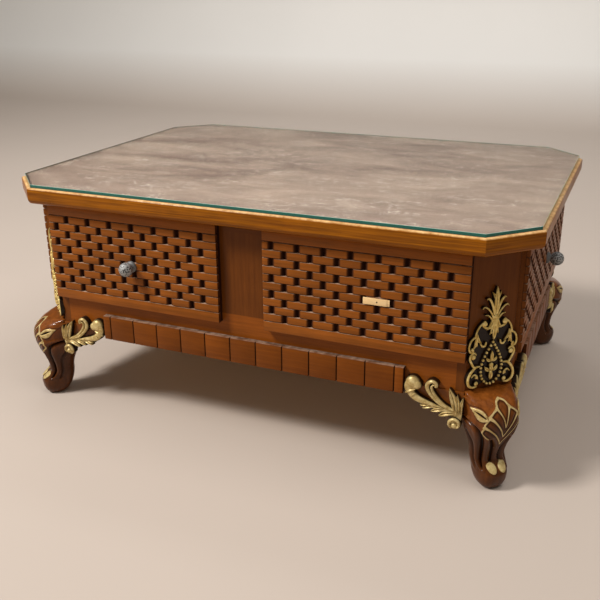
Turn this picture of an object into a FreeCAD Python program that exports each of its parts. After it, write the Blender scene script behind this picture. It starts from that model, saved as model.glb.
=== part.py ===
"""Octagonal coffee table with two drawers, on carved cabriole legs.

The frame stands on the floor: origin on the floor under the middle of the top, +X along the
length, -Y towards the front, +Z up, millimetres. Every size is a cell of the sheet, and each
piece takes its sizes and its place from those cells.
"""
import FreeCAD
import Part
import Sketcher
import math
import os
import re

DOC = FreeCAD.newDocument("CoffeeTable")

# Driving dimensions
SIZES = [
    ("top_length", 1000, "length of the top over the edge moulding"),
    ("top_width", 725, "width of the top over the edge moulding"),
    ("top_cut", 77, "corner cut of the top, along each side"),
    ("table_height", 450, "floor to the upper face of the glass"),
    ("glass_thick", 6, "glass sheet"),
    ("glass_inset", 7, "edge moulding to the edge of the glass"),
    ("glass_arris", 1, "ground arris of the glass"),
    ("top_thick", 18, "board under the glass"),
    ("mould_width", 25, "edge moulding, outer face to the top board"),
    ("mould_height", 30, "edge moulding, full depth"),
    ("mould_round", 4, "rounded upper edge of the moulding"),
    ("mould_bevel", 11, "height of the hollow at the foot of the moulding"),
    ("mould_under", 9, "set-back of that hollow"),
    ("overhang", 37.5, "edge moulding to the face of the carcase"),
    ("carcase_cut", 62, "corner cut of the carcase, along each side"),
    ("carcase_bottom", 163, "floor to the lower edge of the carcase"),
    ("rail_thick", 22, "rails, stiles and corner posts"),
    ("lower_rail_height", 78, "lower rails"),
    ("upper_rail_height", 31, "upper rails"),
    ("stile_width", 118, "stile between two openings"),
    ("partition_thick", 18, "board between the two drawer bays"),
    ("bottom_thick", 8, "board that closes the underside"),
    ("panel_thick", 14, "woven fronts"),
    ("panel_lap", 15, "woven front past the edge of its opening"),
    ("weave_band", 19, "plain band above and below the weave"),
    ("weave_rows", 10, "rows of bricks"),
    ("weave_columns", 7, "gaps in a row of a front or back panel"),
    ("end_columns", 11, "gaps in a row of an end panel"),
    ("weave_lead", 0.35, "left edge of a panel to the nearest gap, as a share of the pitch"),
    ("weave_gap", 10.5, "gap between two bricks of a row"),
    ("weave_depth", 6, "depth of that gap"),
    ("row_groove", 1.6, "width and depth of the groove between two rows"),
    ("row_margin", 0.5, "brick gap to the groove above or below it"),
    ("brick_thick", 2, "bare slip on one brick"),
    ("brick_row", 5, "its row, counted up from the lowest"),
    ("brick_place", 5, "its brick in that row, counted from the middle stile"),
    ("pin_diameter", 3, "pin hole in that slip"),
    ("strip_height", 47.5, "apron strip"),
    ("strip_thick", 12, "apron strip"),
    ("strip_drop", 12, "apron strip below the lower rail"),
    ("strip_stub", 16, "cut block at each end of an apron strip"),
    ("strip_blocks", 11, "whole blocks of a long apron strip"),
    ("end_blocks", 6, "whole blocks of a short apron strip"),
    ("block_groove", 3, "width of the groove between two blocks"),
    ("wing_reach", 101, "knee wing, from the corner to its outer volute"),
    ("wing_root", 12, "knee wing, from the corner back to the leg"),
    ("wing_clear", 1, "outer volute to the apron strip"),
    ("wing_thick", 13, "knee wing, stems and leaves"),
    ("leaf_width", 11, "leaves of the knee wing"),
    ("volute_thick", 17, "knee wing, volutes"),
    ("volute_radius", 13, "outer volute"),
    ("scroll_radius", 10, "inner volute"),
    ("rosette_radius", 11, "rosette under the wing"),
    ("wing_rise", 26, "knee wing above the lower edge of the carcase"),
    ("stem_drop", 22, "lower edge of the carcase to the crown of the stem"),
    ("rosette_drop", 48, "lower edge of the carcase to the rosette"),
    ("applique_thick", 10, "pierced corner ornament"),
    ("applique_height", 182, "pierced corner ornament"),
    ("applique_width", 84, "pierced corner ornament"),
    ("applique_lift", 3, "carcase edge to the foot of the ornament"),
    ("applique_bar", 5, "width of its tendrils"),
    ("knee_reach", 59, "corner face to the front of the knee"),
    ("knee_height", 131, "floor to the fullest point of the knee"),
    ("knee_width", 86, "knee across the corner"),
    ("shoulder_reach", 20, "corner face to the leg's edge at its top"),
    ("shoulder_width", 94, "leg across the corner at its top"),
    ("leg_back", 52, "leg block behind the corner face"),
    ("ankle_reach", 37, "corner face to the front of the ankle"),
    ("ankle_height", 54, "floor to the ankle"),
    ("ankle_width", 57, "ankle across the corner"),
    ("ankle_back", 11, "ankle behind the corner face"),
    ("toe_reach", 56, "corner face to the tip of the toe"),
    ("toe_height", 28, "floor to the tip of the toe"),
    ("toe_width", 53, "toe across the corner"),
    ("foot_front", 41, "corner face to the front of the foot pad"),
    ("foot_back", 21, "corner face to the back of the foot pad"),
    ("foot_width", 25, "foot pad across the corner"),
    ("flute_depth", 3.5, "flutes down the front of the leg"),
    ("leg_block_height", 40, "glued corner block over each leg"),
    ("leg_block_depth", 36, "corner block, from the post inwards"),
    ("bolt_diameter", 8, "leg bolt"),
    ("bolt_clear", 0.2, "leg bolt to its hole, all round"),
    ("bolt_inset", 18, "corner post to the leg bolt"),
    ("bolt_depth", 30, "leg bolt inside the leg"),
    ("bolt_head", 6, "hexagon head of the leg bolt"),
    ("drawer_room", 33.5, "drawer back to what stands behind it"),
    ("drawer_board", 12, "drawer sides and back"),
    ("drawer_floor", 5, "drawer bottom"),
    ("floor_rise", 8, "lower edge of a side to the drawer bottom"),
    ("floor_groove", 6, "groove in the sides for the bottom"),
    ("side_gap", 1.5, "drawer side to the edge of its opening"),
    ("head_gap", 8, "drawer side to the upper edge of its opening"),
    ("slide_gap", 0.3, "drawer side to its runner"),
    ("front_gap", 0.3, "woven drawer front to the carcase"),
    ("runner_width", 35, "drawer runners and kickers"),
    ("runner_height", 20, "drawer runners"),
    ("guide_height", 30, "drawer guides over the runners"),
    ("guide_width", 20, "outer drawer guides"),
    ("guide_setback", 34, "outer guides to the rails in front of their ends"),
    ("knob_diameter", 26, "ball of the knob"),
    ("knob_reach", 18, "woven front to the middle of the ball"),
    ("knob_drop", 8, "middle of the woven front down to the knob"),
    ("knob_neck", 12, "neck of the knob"),
    ("base_diameter", 22, "seat of the knob"),
    ("base_height", 5.5, "seat of the knob"),
    ("base_face", 15, "outer face of that seat"),
    ("screw_diameter", 4.4, "knob screw"),
    ("screw_clear", 0.2, "knob screw to its hole, all round"),
    ("screw_bite", 14, "knob screw inside the knob"),
    ("screw_head", 8.4, "head of the knob screw"),
    ("screw_head_height", 2.6, "head of the knob screw"),
]
ALIASES = {alias for alias, _, _ in SIZES}

sheet = DOC.addObject("Spreadsheet::Sheet", "Sizes")
for row, (alias, number, note) in enumerate(SIZES, start=1):
    sheet.set("A%d" % row, note)
    sheet.set("B%d" % row, str(number))
    sheet.setAlias("B%d" % row, alias)
DOC.recompute()

# Shared places, as expressions of the cells
HALF_X = "(top_length / 2)"
HALF_Y = "(top_width / 2)"
FACE_X = "(top_length / 2 - overhang)"
FACE_Y = "(top_width / 2 - overhang)"
EDGE_X = "(top_length / 2 - overhang - carcase_cut)"
EDGE_Y = "(top_width / 2 - overhang - carcase_cut)"
INNER_X = "(top_length / 2 - overhang - rail_thick)"
INNER_Y = "(top_width / 2 - overhang - rail_thick)"
BOARD_TOP = "(table_height - glass_thick)"
CARCASE_TOP = "(table_height - glass_thick - top_thick)"
OPEN_BOTTOM = "(carcase_bottom + lower_rail_height)"
OPEN_TOP = "(table_height - glass_thick - top_thick - upper_rail_height)"
OPEN_HEIGHT = "(%s - %s)" % (OPEN_TOP, OPEN_BOTTOM)
OPEN_X = "(%s - panel_lap)" % EDGE_X
OPEN_Y = "(%s - panel_lap)" % EDGE_Y
PANEL_HEIGHT = "(%s + 2 * panel_lap)" % OPEN_HEIGHT
PANEL_BOTTOM = "(%s - panel_lap)" % OPEN_BOTTOM
FRONT_PANEL = "(%s - stile_width / 2 + panel_lap)" % EDGE_X
END_PANEL = "(2 * %s)" % EDGE_Y
FLOOR_TOP = "(carcase_bottom + bottom_thick)"
ROW = "((%s - 2 * weave_band) / weave_rows)" % PANEL_HEIGHT

OCTAGON_SHRINK = 2 - math.sqrt(2)
MITRE = math.tan(math.radians(22.5))
ROOT_HALF = math.sqrt(0.5)

# Sides and corners of the table: name, turn about Z, and which way they face
SIDES = [("front", 0), ("right", 90), ("back", 180), ("left", 270)]
CORNERS = [
    ("front_right", 45, 1, -1),
    ("back_right", 135, 1, 1),
    ("back_left", 225, -1, 1),
    ("front_left", 315, -1, -1),
]
NODES = []


def bound(text):
    """An expression in which every size names its cell."""
    return re.sub(r"[a-z_]+", lambda word: "Sizes." + word.group() if word.group() in ALIASES
                  else word.group(), text)


def value(text):
    """The number that an expression has now."""
    return float(sheet.evalExpression(bound(text)))


def tie(item, name, text):
    item.setExpression(name, bound(text))


def turned(across, inward, turn):
    """Local offsets of a side, turned about Z, as global offsets."""
    return {0: (across, inward), 90: ("-(%s)" % inward, across),
            180: ("-(%s)" % across, "-(%s)" % inward), 270: (inward, "-(%s)" % across)}[turn]


def place(item, base, turn=0):
    """Puts an object at a base given as three expressions, turned about Z."""
    item.Placement = FreeCAD.Placement(
        FreeCAD.Vector(*[value(text) for text in base]),
        FreeCAD.Rotation(FreeCAD.Vector(0, 0, 1), turn))
    for axis, text in zip("xyz", base):
        tie(item, "Placement.Base." + axis, text)


def node(item, label):
    item.Label = label
    NODES.append(item)
    return item


def box(name, sizes, base, turn=0):
    item = DOC.addObject("Part::Box", name)
    for prop, text in zip(("Length", "Width", "Height"), sizes):
        tie(item, prop, text)
    place(item, base, turn)
    return item


def board(label, sizes, base, turn=0):
    return node(box(label, sizes, base, turn), label)


def group(label, items):
    """Separate solids that share one node."""
    item = DOC.addObject("Part::Compound", label)
    item.Links = items
    return node(item, label)


def new_body(label):
    return node(DOC.addObject("PartDesign::Body", label), label)


def new_sketch(body, role, name, lift="0"):
    sketch = body.newObject("Sketcher::SketchObject", name)
    planes = [plane for plane in body.Origin.OriginFeatures if plane.Role == role]
    sketch.AttachmentSupport = [(planes[0], "")]
    sketch.MapMode = "FlatFace"
    tie(sketch, "AttachmentOffset.Base.z", lift)
    return sketch


def outline(body, role, name, points, bends=(), lift="0"):
    """A closed outline through points given as pairs of expressions.

    bends lists (side, bulge point, radius): that side is an arc of the radius, on the side of
    the bulge point.
    """
    sketch = new_sketch(body, role, name, lift)
    spots = [FreeCAD.Vector(value(x), value(y), 0) for x, y in points]
    arcs = {side: (bulge, radius) for side, bulge, radius in bends}
    ends = []
    for index, start in enumerate(spots):
        stop = spots[(index + 1) % len(spots)]
        if index in arcs:
            middle = FreeCAD.Vector(value(arcs[index][0][0]), value(arcs[index][0][1]), 0)
            curve = sketch.addGeometry(Part.Arc(start, middle, stop))
            first = 1 if sketch.getPoint(curve, 1).isEqual(start, 1e-6) else 2
            ends.append((curve, first, 3 - first))
        else:
            ends.append((sketch.addGeometry(Part.LineSegment(start, stop)), 1, 2))
    for index, (curve, first, last) in enumerate(ends):
        after, after_first, _ = ends[(index + 1) % len(ends)]
        sketch.addConstraint(Sketcher.Constraint("Coincident", curve, last, after, after_first))
    for index, (x, y) in enumerate(points):
        curve, first, _ = ends[index]
        for kind, text in (("DistanceX", x), ("DistanceY", y)):
            made = sketch.addConstraint(
                Sketcher.Constraint(kind, -1, 1, curve, first, value(text)))
            tie(sketch, "Constraints[%d]" % made, text)
    for side, (_, radius) in arcs.items():
        made = sketch.addConstraint(Sketcher.Constraint("Radius", ends[side][0], value(radius)))
        tie(sketch, "Constraints[%d]" % made, radius)
    return sketch


def round_hole(body, role, name, x, y, diameter):
    sketch = new_sketch(body, role, name)
    circle = sketch.addGeometry(Part.Circle(
        FreeCAD.Vector(value(x), value(y), 0), FreeCAD.Vector(0, 0, 1), value(diameter) / 2))
    for kind, text in (("DistanceX", x), ("DistanceY", y)):
        made = sketch.addConstraint(Sketcher.Constraint(kind, -1, 1, circle, 3, value(text)))
        tie(sketch, "Constraints[%d]" % made, text)
    made = sketch.addConstraint(Sketcher.Constraint("Diameter", circle, value(diameter)))
    tie(sketch, "Constraints[%d]" % made, diameter)
    return sketch


def pad(body, sketch, length, reverse=False, both_ways=False):
    item = body.newObject("PartDesign::Pad", sketch.Name + "_pad")
    item.Profile = sketch
    tie(item, "Length", length)
    item.Reversed = reverse
    item.Midplane = both_ways
    return item


def cut_through(body, sketch):
    """A cut right through, both ways from the sketch."""
    item = body.newObject("PartDesign::Pocket", sketch.Name + "_cut")
    item.Profile = sketch
    item.Type = "ThroughAll"
    item.Midplane = True
    return item


def repeat(body, feature, sketch, across, count, up=None, rows=None):
    """Copies of a cut along the sketch's first axis and, if asked, along its second."""
    item = body.newObject("PartDesign::LinearPattern", feature.Name + "_copies")
    item.Originals = [feature]
    item.Direction = (sketch, ["H_Axis"])
    item.Mode = "Spacing"
    tie(item, "Offset", across)
    tie(item, "Occurrences", count)
    if up:
        item.Direction2 = (sketch, ["V_Axis"])
        item.Mode2 = "Spacing"
        tie(item, "Offset2", up)
        tie(item, "Occurrences2", rows)
    body.Tip = item
    return item


def octagon(inset):
    """Corners of the top's outline, moved in by a distance on all eight sides."""
    x = "(%s - %s)" % (HALF_X, inset)
    y = "(%s - %s)" % (HALF_Y, inset)
    cut = "(top_cut - %s * %.9f)" % (inset, OCTAGON_SHRINK)
    return eight_points(x, y, cut)


def eight_points(x, y, cut):
    return [("%s - %s" % (x, cut), "-" + y), (x, "-(%s - %s)" % (y, cut)),
            (x, "%s - %s" % (y, cut)), ("%s - %s" % (x, cut), y),
            ("-(%s - %s)" % (x, cut), y), ("-" + x, "%s - %s" % (y, cut)),
            ("-" + x, "-(%s - %s)" % (y, cut)), ("-(%s - %s)" % (x, cut), "-" + y)]


def corner_base(x, y, height):
    """Middle of a corner face of the carcase, at a height."""
    return ("%d * (%s - carcase_cut / 2)" % (x, FACE_X),
            "%d * (%s - carcase_cut / 2)" % (y, FACE_Y), height)


# Glass sheet, polished all round, and the veined board that it lies on
def make_glass():
    body = new_body("glass_top")
    sheet_pad = pad(body, outline(body, "XY_Plane", "glass_outline", octagon("glass_inset")),
                    "glass_thick")
    place(body, ("0", "0", BOARD_TOP))
    DOC.recompute()
    rims = ["Edge%d" % number for number, edge in enumerate(sheet_pad.Shape.Edges, start=1)
            if abs(edge.Vertexes[0].Z - edge.Vertexes[-1].Z) < 1e-6]
    arris = body.newObject("PartDesign::Chamfer", "glass_arris")
    arris.Base = (sheet_pad, rims)
    tie(arris, "Size", "glass_arris")


def make_top_panel():
    body = new_body("top_panel")
    pad(body, outline(body, "XY_Plane", "top_outline", octagon("mould_width")), "top_thick")
    place(body, ("0", "0", CARCASE_TOP))


# Edge moulding: a rounded upper edge, a flat face and a hollow below it, mitred at each corner
def moulding(label, length, base, turn):
    body = DOC.addObject("PartDesign::Body", label)
    face_foot = "mould_bevel"
    profile = outline(
        body, "YZ_Plane", label + "_profile",
        [("0", face_foot), ("0", "mould_height - mould_round"), ("mould_round", "mould_height"),
         ("mould_width", "mould_height"), ("mould_width", "0"), ("mould_under", "0")],
        [(1, ("mould_round * %.6f" % (1 - ROOT_HALF),
              "mould_height - mould_round * %.6f" % (1 - ROOT_HALF)), "mould_round"),
         (5, ("mould_under * 0.62", "mould_bevel * 0.62"), "mould_bevel * 1.1")])
    pad(body, profile, length, both_ways=True)
    for end in (1, -1):
        corner = "%d * (%s) / 2" % (end, length)
        wedge = outline(
            body, "XY_Plane", label + ("_right_mitre" if end > 0 else "_left_mitre"),
            [(corner, "0"), (corner, "mould_width"),
             ("%s - %d * mould_width * %.9f" % (corner, end, MITRE), "mould_width")])
        cut_through(body, wedge)
    place(body, base, turn)
    return body


def make_mouldings():
    foot = "%s - mould_height" % BOARD_TOP
    for side, turn in SIDES:
        long_side = side in ("front", "back")
        length = "(top_length - 2 * top_cut)" if long_side else "(top_width - 2 * top_cut)"
        x, y = turned("0", "-" + (HALF_Y if long_side else HALF_X), turn)
        label = "edge_moulding_" + side
        node(moulding(label, length, (x, y, foot), turn), label)
    pieces = []
    for corner, turn, x, y in CORNERS:
        base = ("%d * (%s - top_cut / 2)" % (x, HALF_X),
                "%d * (%s - top_cut / 2)" % (y, HALF_Y), foot)
        length = "(top_cut * %.9f)" % math.sqrt(2)
        pieces.append(moulding("edge_moulding_" + corner, length, base, turn))
    group("edge_moulding_corners", pieces)


# Carcase: corner posts with a splayed face, rails let in between them, stiles and boards
def make_posts():
    reach = "((carcase_cut + panel_lap) * %.9f)" % ROOT_HALF
    face = "(carcase_cut * %.9f)" % ROOT_HALF
    lap = "(panel_lap * %.9f)" % ROOT_HALF
    inner = "((carcase_cut + panel_lap - rail_thick) * %.9f)" % ROOT_HALF
    back = "((panel_lap + rail_thick) * %.9f)" % ROOT_HALF
    for corner, turn, x, y in CORNERS:
        body = new_body("corner_post_" + corner)
        plan = outline(body, "XY_Plane", "post_plan_" + corner,
                       [("-" + face, "0"), (face, "0"), (reach, lap), (inner, back),
                        ("-" + inner, back), ("-" + reach, lap)])
        pad(body, plan, "%s - carcase_bottom" % CARCASE_TOP)
        place(body, corner_base(x, y, "carcase_bottom"), turn)


def make_rails():
    upper = []
    for side, turn in SIDES:
        long_side = side in ("front", "back")
        half = OPEN_X if long_side else OPEN_Y
        face = FACE_Y if long_side else FACE_X
        x, y = turned("-" + half, "-" + face, turn)
        sizes = ("2 * " + half, "rail_thick")
        board("lower_rail_" + side, sizes + ("lower_rail_height",), (x, y, "carcase_bottom"), turn)
        upper.append(box("upper_rail_" + side, sizes + ("upper_rail_height",),
                         (x, y, OPEN_TOP), turn))
    group("upper_rails", upper)


def make_inner_boards():
    stiles = []
    for side, turn in (("front", 0), ("back", 180)):
        x, y = turned("-stile_width / 2", "-" + FACE_Y, turn)
        stiles.append(box("centre_stile_" + side, ("stile_width", "rail_thick", OPEN_HEIGHT),
                          (x, y, OPEN_BOTTOM), turn))
    group("centre_stiles", stiles)
    board("centre_partition",
          ("partition_thick", "2 * " + INNER_Y, "%s - %s" % (CARCASE_TOP, FLOOR_TOP)),
          ("-partition_thick / 2", "-" + INNER_Y, FLOOR_TOP))
    body = new_body("bottom_board")
    plan = eight_points(INNER_X, INNER_Y, "(carcase_cut + panel_lap - rail_thick)")
    pad(body, outline(body, "XY_Plane", "bottom_plan", plan), "bottom_thick")
    for corner, turn, x, y in CORNERS:
        place_x, place_y = bolt_spot(x, y)
        cut_through(body, round_hole(body, "XY_Plane", "bolt_hole_" + corner, place_x, place_y,
                                     "(bolt_diameter + 2 * bolt_clear)"))
    place(body, ("0", "0", "carcase_bottom"))


def bolt_back():
    """Corner face to the axis of the leg bolt, along the diagonal."""
    return "((panel_lap + rail_thick) * %.9f + bolt_inset)" % ROOT_HALF


def bolt_spot(x, y):
    base_x, base_y, _ = corner_base(x, y, "0")
    step = "%s * %.9f" % (bolt_back(), ROOT_HALF)
    return "%s - %d * %s" % (base_x, x, step), "%s - %d * %s" % (base_y, y, step)


# Woven fronts: a board with rows of staggered brick gaps between plain bands
def woven_board(label, width, columns, long_start, screw_hole=False):
    """Lower left corner of the outer face at the body's origin, outer face towards -Y."""
    body = new_body(label)
    pitch = "(%s / (%s + 0.5))" % (width, columns)
    blank = outline(body, "XZ_Plane", label + "_blank",
                    [("0", "0"), (width, "0"), (width, PANEL_HEIGHT), ("0", PANEL_HEIGHT)])
    pad(body, blank, "panel_thick", reverse=True)
    notch = outline(body, "YZ_Plane", label + "_groove",
                    [("-row_groove", "weave_band - row_groove"), ("row_groove", "weave_band"),
                     ("-row_groove", "weave_band + row_groove")])
    groove = cut_through(body, notch)
    grooves = body.newObject("PartDesign::LinearPattern", label + "_grooves")
    grooves.Originals = [groove]
    grooves.Direction = (notch, ["V_Axis"])
    grooves.Mode = "Spacing"
    tie(grooves, "Offset", ROW)
    tie(grooves, "Occurrences", "weave_rows + 1")
    body.Tip = grooves
    half_gap = "weave_gap / 2"
    rise = "(row_groove / 2 + row_margin)"
    for lowest, rows in ((0, "ceil(weave_rows / 2)"), (1, "floor(weave_rows / 2)")):
        lead = "weave_lead" if (lowest == 0) == long_start else "(weave_lead + 0.5)"
        first = "%s * %s" % (pitch, lead)
        foot = "weave_band + %d * %s" % (lowest, ROW)
        low = "%s + %s" % (foot, rise)
        high = "%s + %s - %s" % (foot, ROW, rise)
        gap = outline(body, "XZ_Plane", "%s_gap_%d" % (label, lowest),
                      [("%s - %s" % (first, half_gap), low), ("%s + %s" % (first, half_gap), low),
                       ("%s + %s" % (first, half_gap), high),
                       ("%s - %s" % (first, half_gap), high)])
        pocket = body.newObject("PartDesign::Pocket", gap.Name + "_cut")
        pocket.Profile = gap
        tie(pocket, "Length", "weave_depth")
        repeat(body, pocket, gap, pitch, columns, "2 * " + ROW, rows)
    if screw_hole:
        hole = round_hole(body, "XZ_Plane", label + "_screw_hole", "%s / 2" % width,
                          "(%s / 2 - knob_drop)" % PANEL_HEIGHT,
                          "(screw_diameter + 2 * screw_clear)")
        body.Tip = cut_through(body, hole)
    return body


def make_fixed_panels():
    front_y = "-(%s + panel_thick)" % FACE_Y
    inner_edge = "stile_width / 2 - panel_lap"
    panel = woven_board("weave_panel_front_right", FRONT_PANEL, "weave_columns", False)
    place(panel, (inner_edge, front_y, PANEL_BOTTOM))
    for label, across, long_start in (("weave_panel_back_right", EDGE_X, True),
                                      ("weave_panel_back_left", "-(%s)" % inner_edge, False)):
        panel = woven_board(label, FRONT_PANEL, "weave_columns", long_start)
        place(panel, (across, "%s + panel_thick" % FACE_Y, PANEL_BOTTOM), 180)
    panel = woven_board("weave_panel_left", END_PANEL, "end_columns", False)
    place(panel, ("-(%s + panel_thick)" % FACE_X, EDGE_Y, PANEL_BOTTOM), 270)
    make_bare_brick(inner_edge, front_y)


def make_bare_brick(inner_edge, front_y):
    """One brick of the front right panel has lost its stain: a bare slip with a pin hole."""
    body = new_body("bare_brick")
    pitch = "(%s / (weave_columns + 0.5))" % FRONT_PANEL
    length = "(%s - weave_gap)" % pitch
    height = "(%s - 2 * row_groove)" % ROW
    blank = outline(body, "XZ_Plane", "brick_blank",
                    [("0", "0"), (length, "0"), (length, height), ("0", height)])
    pad(body, blank, "brick_thick")
    cut_through(body, round_hole(body, "XZ_Plane", "pin_hole", length + " / 2", height + " / 2",
                                 "pin_diameter"))
    place(body, ("%s + %s * (brick_place + weave_lead - 1.5) + weave_gap / 2" % (inner_edge, pitch),
                 front_y,
                 "%s + weave_band + %s * (brick_row - 1) + row_groove" % (PANEL_BOTTOM, ROW)))


# Apron strips: square blocks set off by upright grooves, on the lower rails
def make_apron_strips():
    for side, turn in SIDES:
        long_side = side in ("front", "back")
        half = "(%s - wing_reach)" % (EDGE_X if long_side else EDGE_Y)
        blocks = "strip_blocks" if long_side else "end_blocks"
        face = FACE_Y if long_side else FACE_X
        pitch = "((2 * %s - 2 * strip_stub) / %s)" % (half, blocks)
        body = new_body("apron_strip_" + side)
        blank = outline(body, "XZ_Plane", "strip_blank_" + side,
                        [("-" + half, "0"), (half, "0"), (half, "strip_height"),
                         ("-" + half, "strip_height")])
        pad(body, blank, "strip_thick")
        first = "-(%s - strip_stub)" % half
        notch = outline(body, "XY_Plane", "strip_notch_" + side,
                        [("%s - block_groove / 2" % first, "-strip_thick"),
                         ("%s + block_groove / 2" % first, "-strip_thick"),
                         (first, "block_groove - strip_thick")])
        repeat(body, cut_through(body, notch), notch, pitch, blocks + " + 1")
        x, y = turned("0", "-" + face, turn)
        place(body, (x, y, "carcase_bottom - strip_drop"), turn)


# Carved pieces are made from flat shapes in the XZ plane, raised towards -Y
def flat(x, z):
    return FreeCAD.Vector(x, 0, z)


def raised(edges, thick):
    return Part.Face(Part.Wire(edges)).extrude(FreeCAD.Vector(0, -thick, 0))


def disc(x, z, radius, thick):
    return Part.makeCylinder(radius, thick, flat(x, z), FreeCAD.Vector(0, -1, 0))


def between_arcs(outer, inner, thick):
    """A bent stem between two arcs, each through three points from root to tip."""
    outer_points = [flat(*point) for point in outer]
    inner_points = [flat(*point) for point in inner]
    edges = [Part.Arc(*outer_points).toShape()]
    if not outer_points[2].isEqual(inner_points[2], 1e-6):
        edges.append(Part.makeLine(outer_points[2], inner_points[2]))
    edges.append(Part.Arc(*reversed(inner_points)).toShape())
    if not outer_points[0].isEqual(inner_points[0], 1e-6):
        edges.append(Part.makeLine(inner_points[0], outer_points[0]))
    return raised(edges, thick)


def leaf(root, tip, width, thick):
    """A pointed leaf with two bowed edges."""
    across = ((tip[1] - root[1]), -(tip[0] - root[0]))
    scale = width / 2 / math.hypot(*across)
    middle = ((root[0] + tip[0]) / 2, (root[1] + tip[1]) / 2)
    sides = [(middle[0] + way * scale * across[0], middle[1] + way * scale * across[1])
             for way in (1, -1)]
    return between_arcs((root, sides[0], tip), (root, sides[1], tip), thick)


def fused(shapes):
    shape = shapes[0].multiFuse(shapes[1:])
    return shape.removeSplitter()


def mirrored_pair(shape):
    return [shape, shape.mirror(FreeCAD.Vector(0, 0, 0), FreeCAD.Vector(1, 0, 0))]


# Knee wings: acanthus brackets on both sides of each leg
def wing_shape():
    """A wing that grows towards +X from the corner of the carcase, whose lower edge is z = 0."""
    thick = value("wing_thick")
    bold = value("volute_thick")
    volute = value("volute_radius")
    scroll = value("scroll_radius")
    rosette = value("rosette_radius")
    reach = value("wing_reach - wing_clear")
    rise = value("wing_rise")
    root = -value("wing_root")
    drop = -value("stem_drop")
    rosette_z = -value("rosette_drop")
    spread = value("leaf_width")
    volute_x, volute_z = reach - volute, rise - volute
    scroll_x, scroll_z = reach * 0.55, rise - scroll
    stem = between_arcs(((root, drop - spread), (reach * 0.56, drop - spread * 0.75),
                         (reach, volute_z)),
                        ((root, drop + spread * 0.75), (reach * 0.5, drop + spread * 0.6),
                         (volute_x, volute_z - volute * 0.6)), thick)
    scroll_stem = between_arcs(((reach * 0.2, drop), (reach * 0.5, drop + spread),
                                (scroll_x + scroll, scroll_z)),
                               ((reach * 0.2, drop + spread * 0.5), (reach * 0.4, drop + 2 * spread),
                                (scroll_x, scroll_z)), thick)
    heart = (reach * 0.06, drop)
    upper = [leaf(heart, (reach * share, rise * lift), spread, thick)
             for share, lift in ((0.27, 0.6), (0.12, 0.3), (0, 0.15))]
    lower = [leaf((reach * (share - 0.18), drop), (reach * share, drop - low * spread), spread, thick)
             for share, low in ((0.27, 1.8), (0.52, 1.1), (0.78, 0.2))]
    hanger = leaf(heart, (rosette, rosette_z), spread, thick)
    rounds = [disc(volute_x, volute_z, volute, bold), disc(scroll_x, scroll_z, scroll, bold),
              disc(rosette, rosette_z, rosette, bold)]
    wing = fused([stem, scroll_stem, hanger] + upper + lower + rounds)
    half_cut = value("carcase_cut / 2")
    leg = leg_shape()
    leg.Placement = FreeCAD.Placement(
        FreeCAD.Vector(-half_cut, half_cut, -value("carcase_bottom")),
        FreeCAD.Rotation(FreeCAD.Vector(0, 0, 1), 315))
    return wing.cut(leg)


def make_wings():
    shape = wing_shape()
    hands = {1: shape.mirror(FreeCAD.Vector(0, 0, 0), FreeCAD.Vector(1, 0, 0)), -1: shape}
    for corner, _, x, y in CORNERS:
        pair = []
        for side, turn in SIDES:
            if side not in corner:
                continue
            long_side = side in ("front", "back")
            edge, face = (EDGE_X, FACE_Y) if long_side else (EDGE_Y, FACE_X)
            facing = {"front": x, "right": y, "back": -x, "left": -y}[side]
            wing = DOC.addObject("Part::Feature", "wing_%s_%s" % (corner, side))
            wing.Shape = hands[facing]
            base_x, base_y = turned("%d * %s" % (facing, edge), "-" + face, turn)
            place(wing, (base_x, base_y, "carcase_bottom"), turn)
            pair.append(wing)
        group("knee_wings_" + corner, pair)


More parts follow.
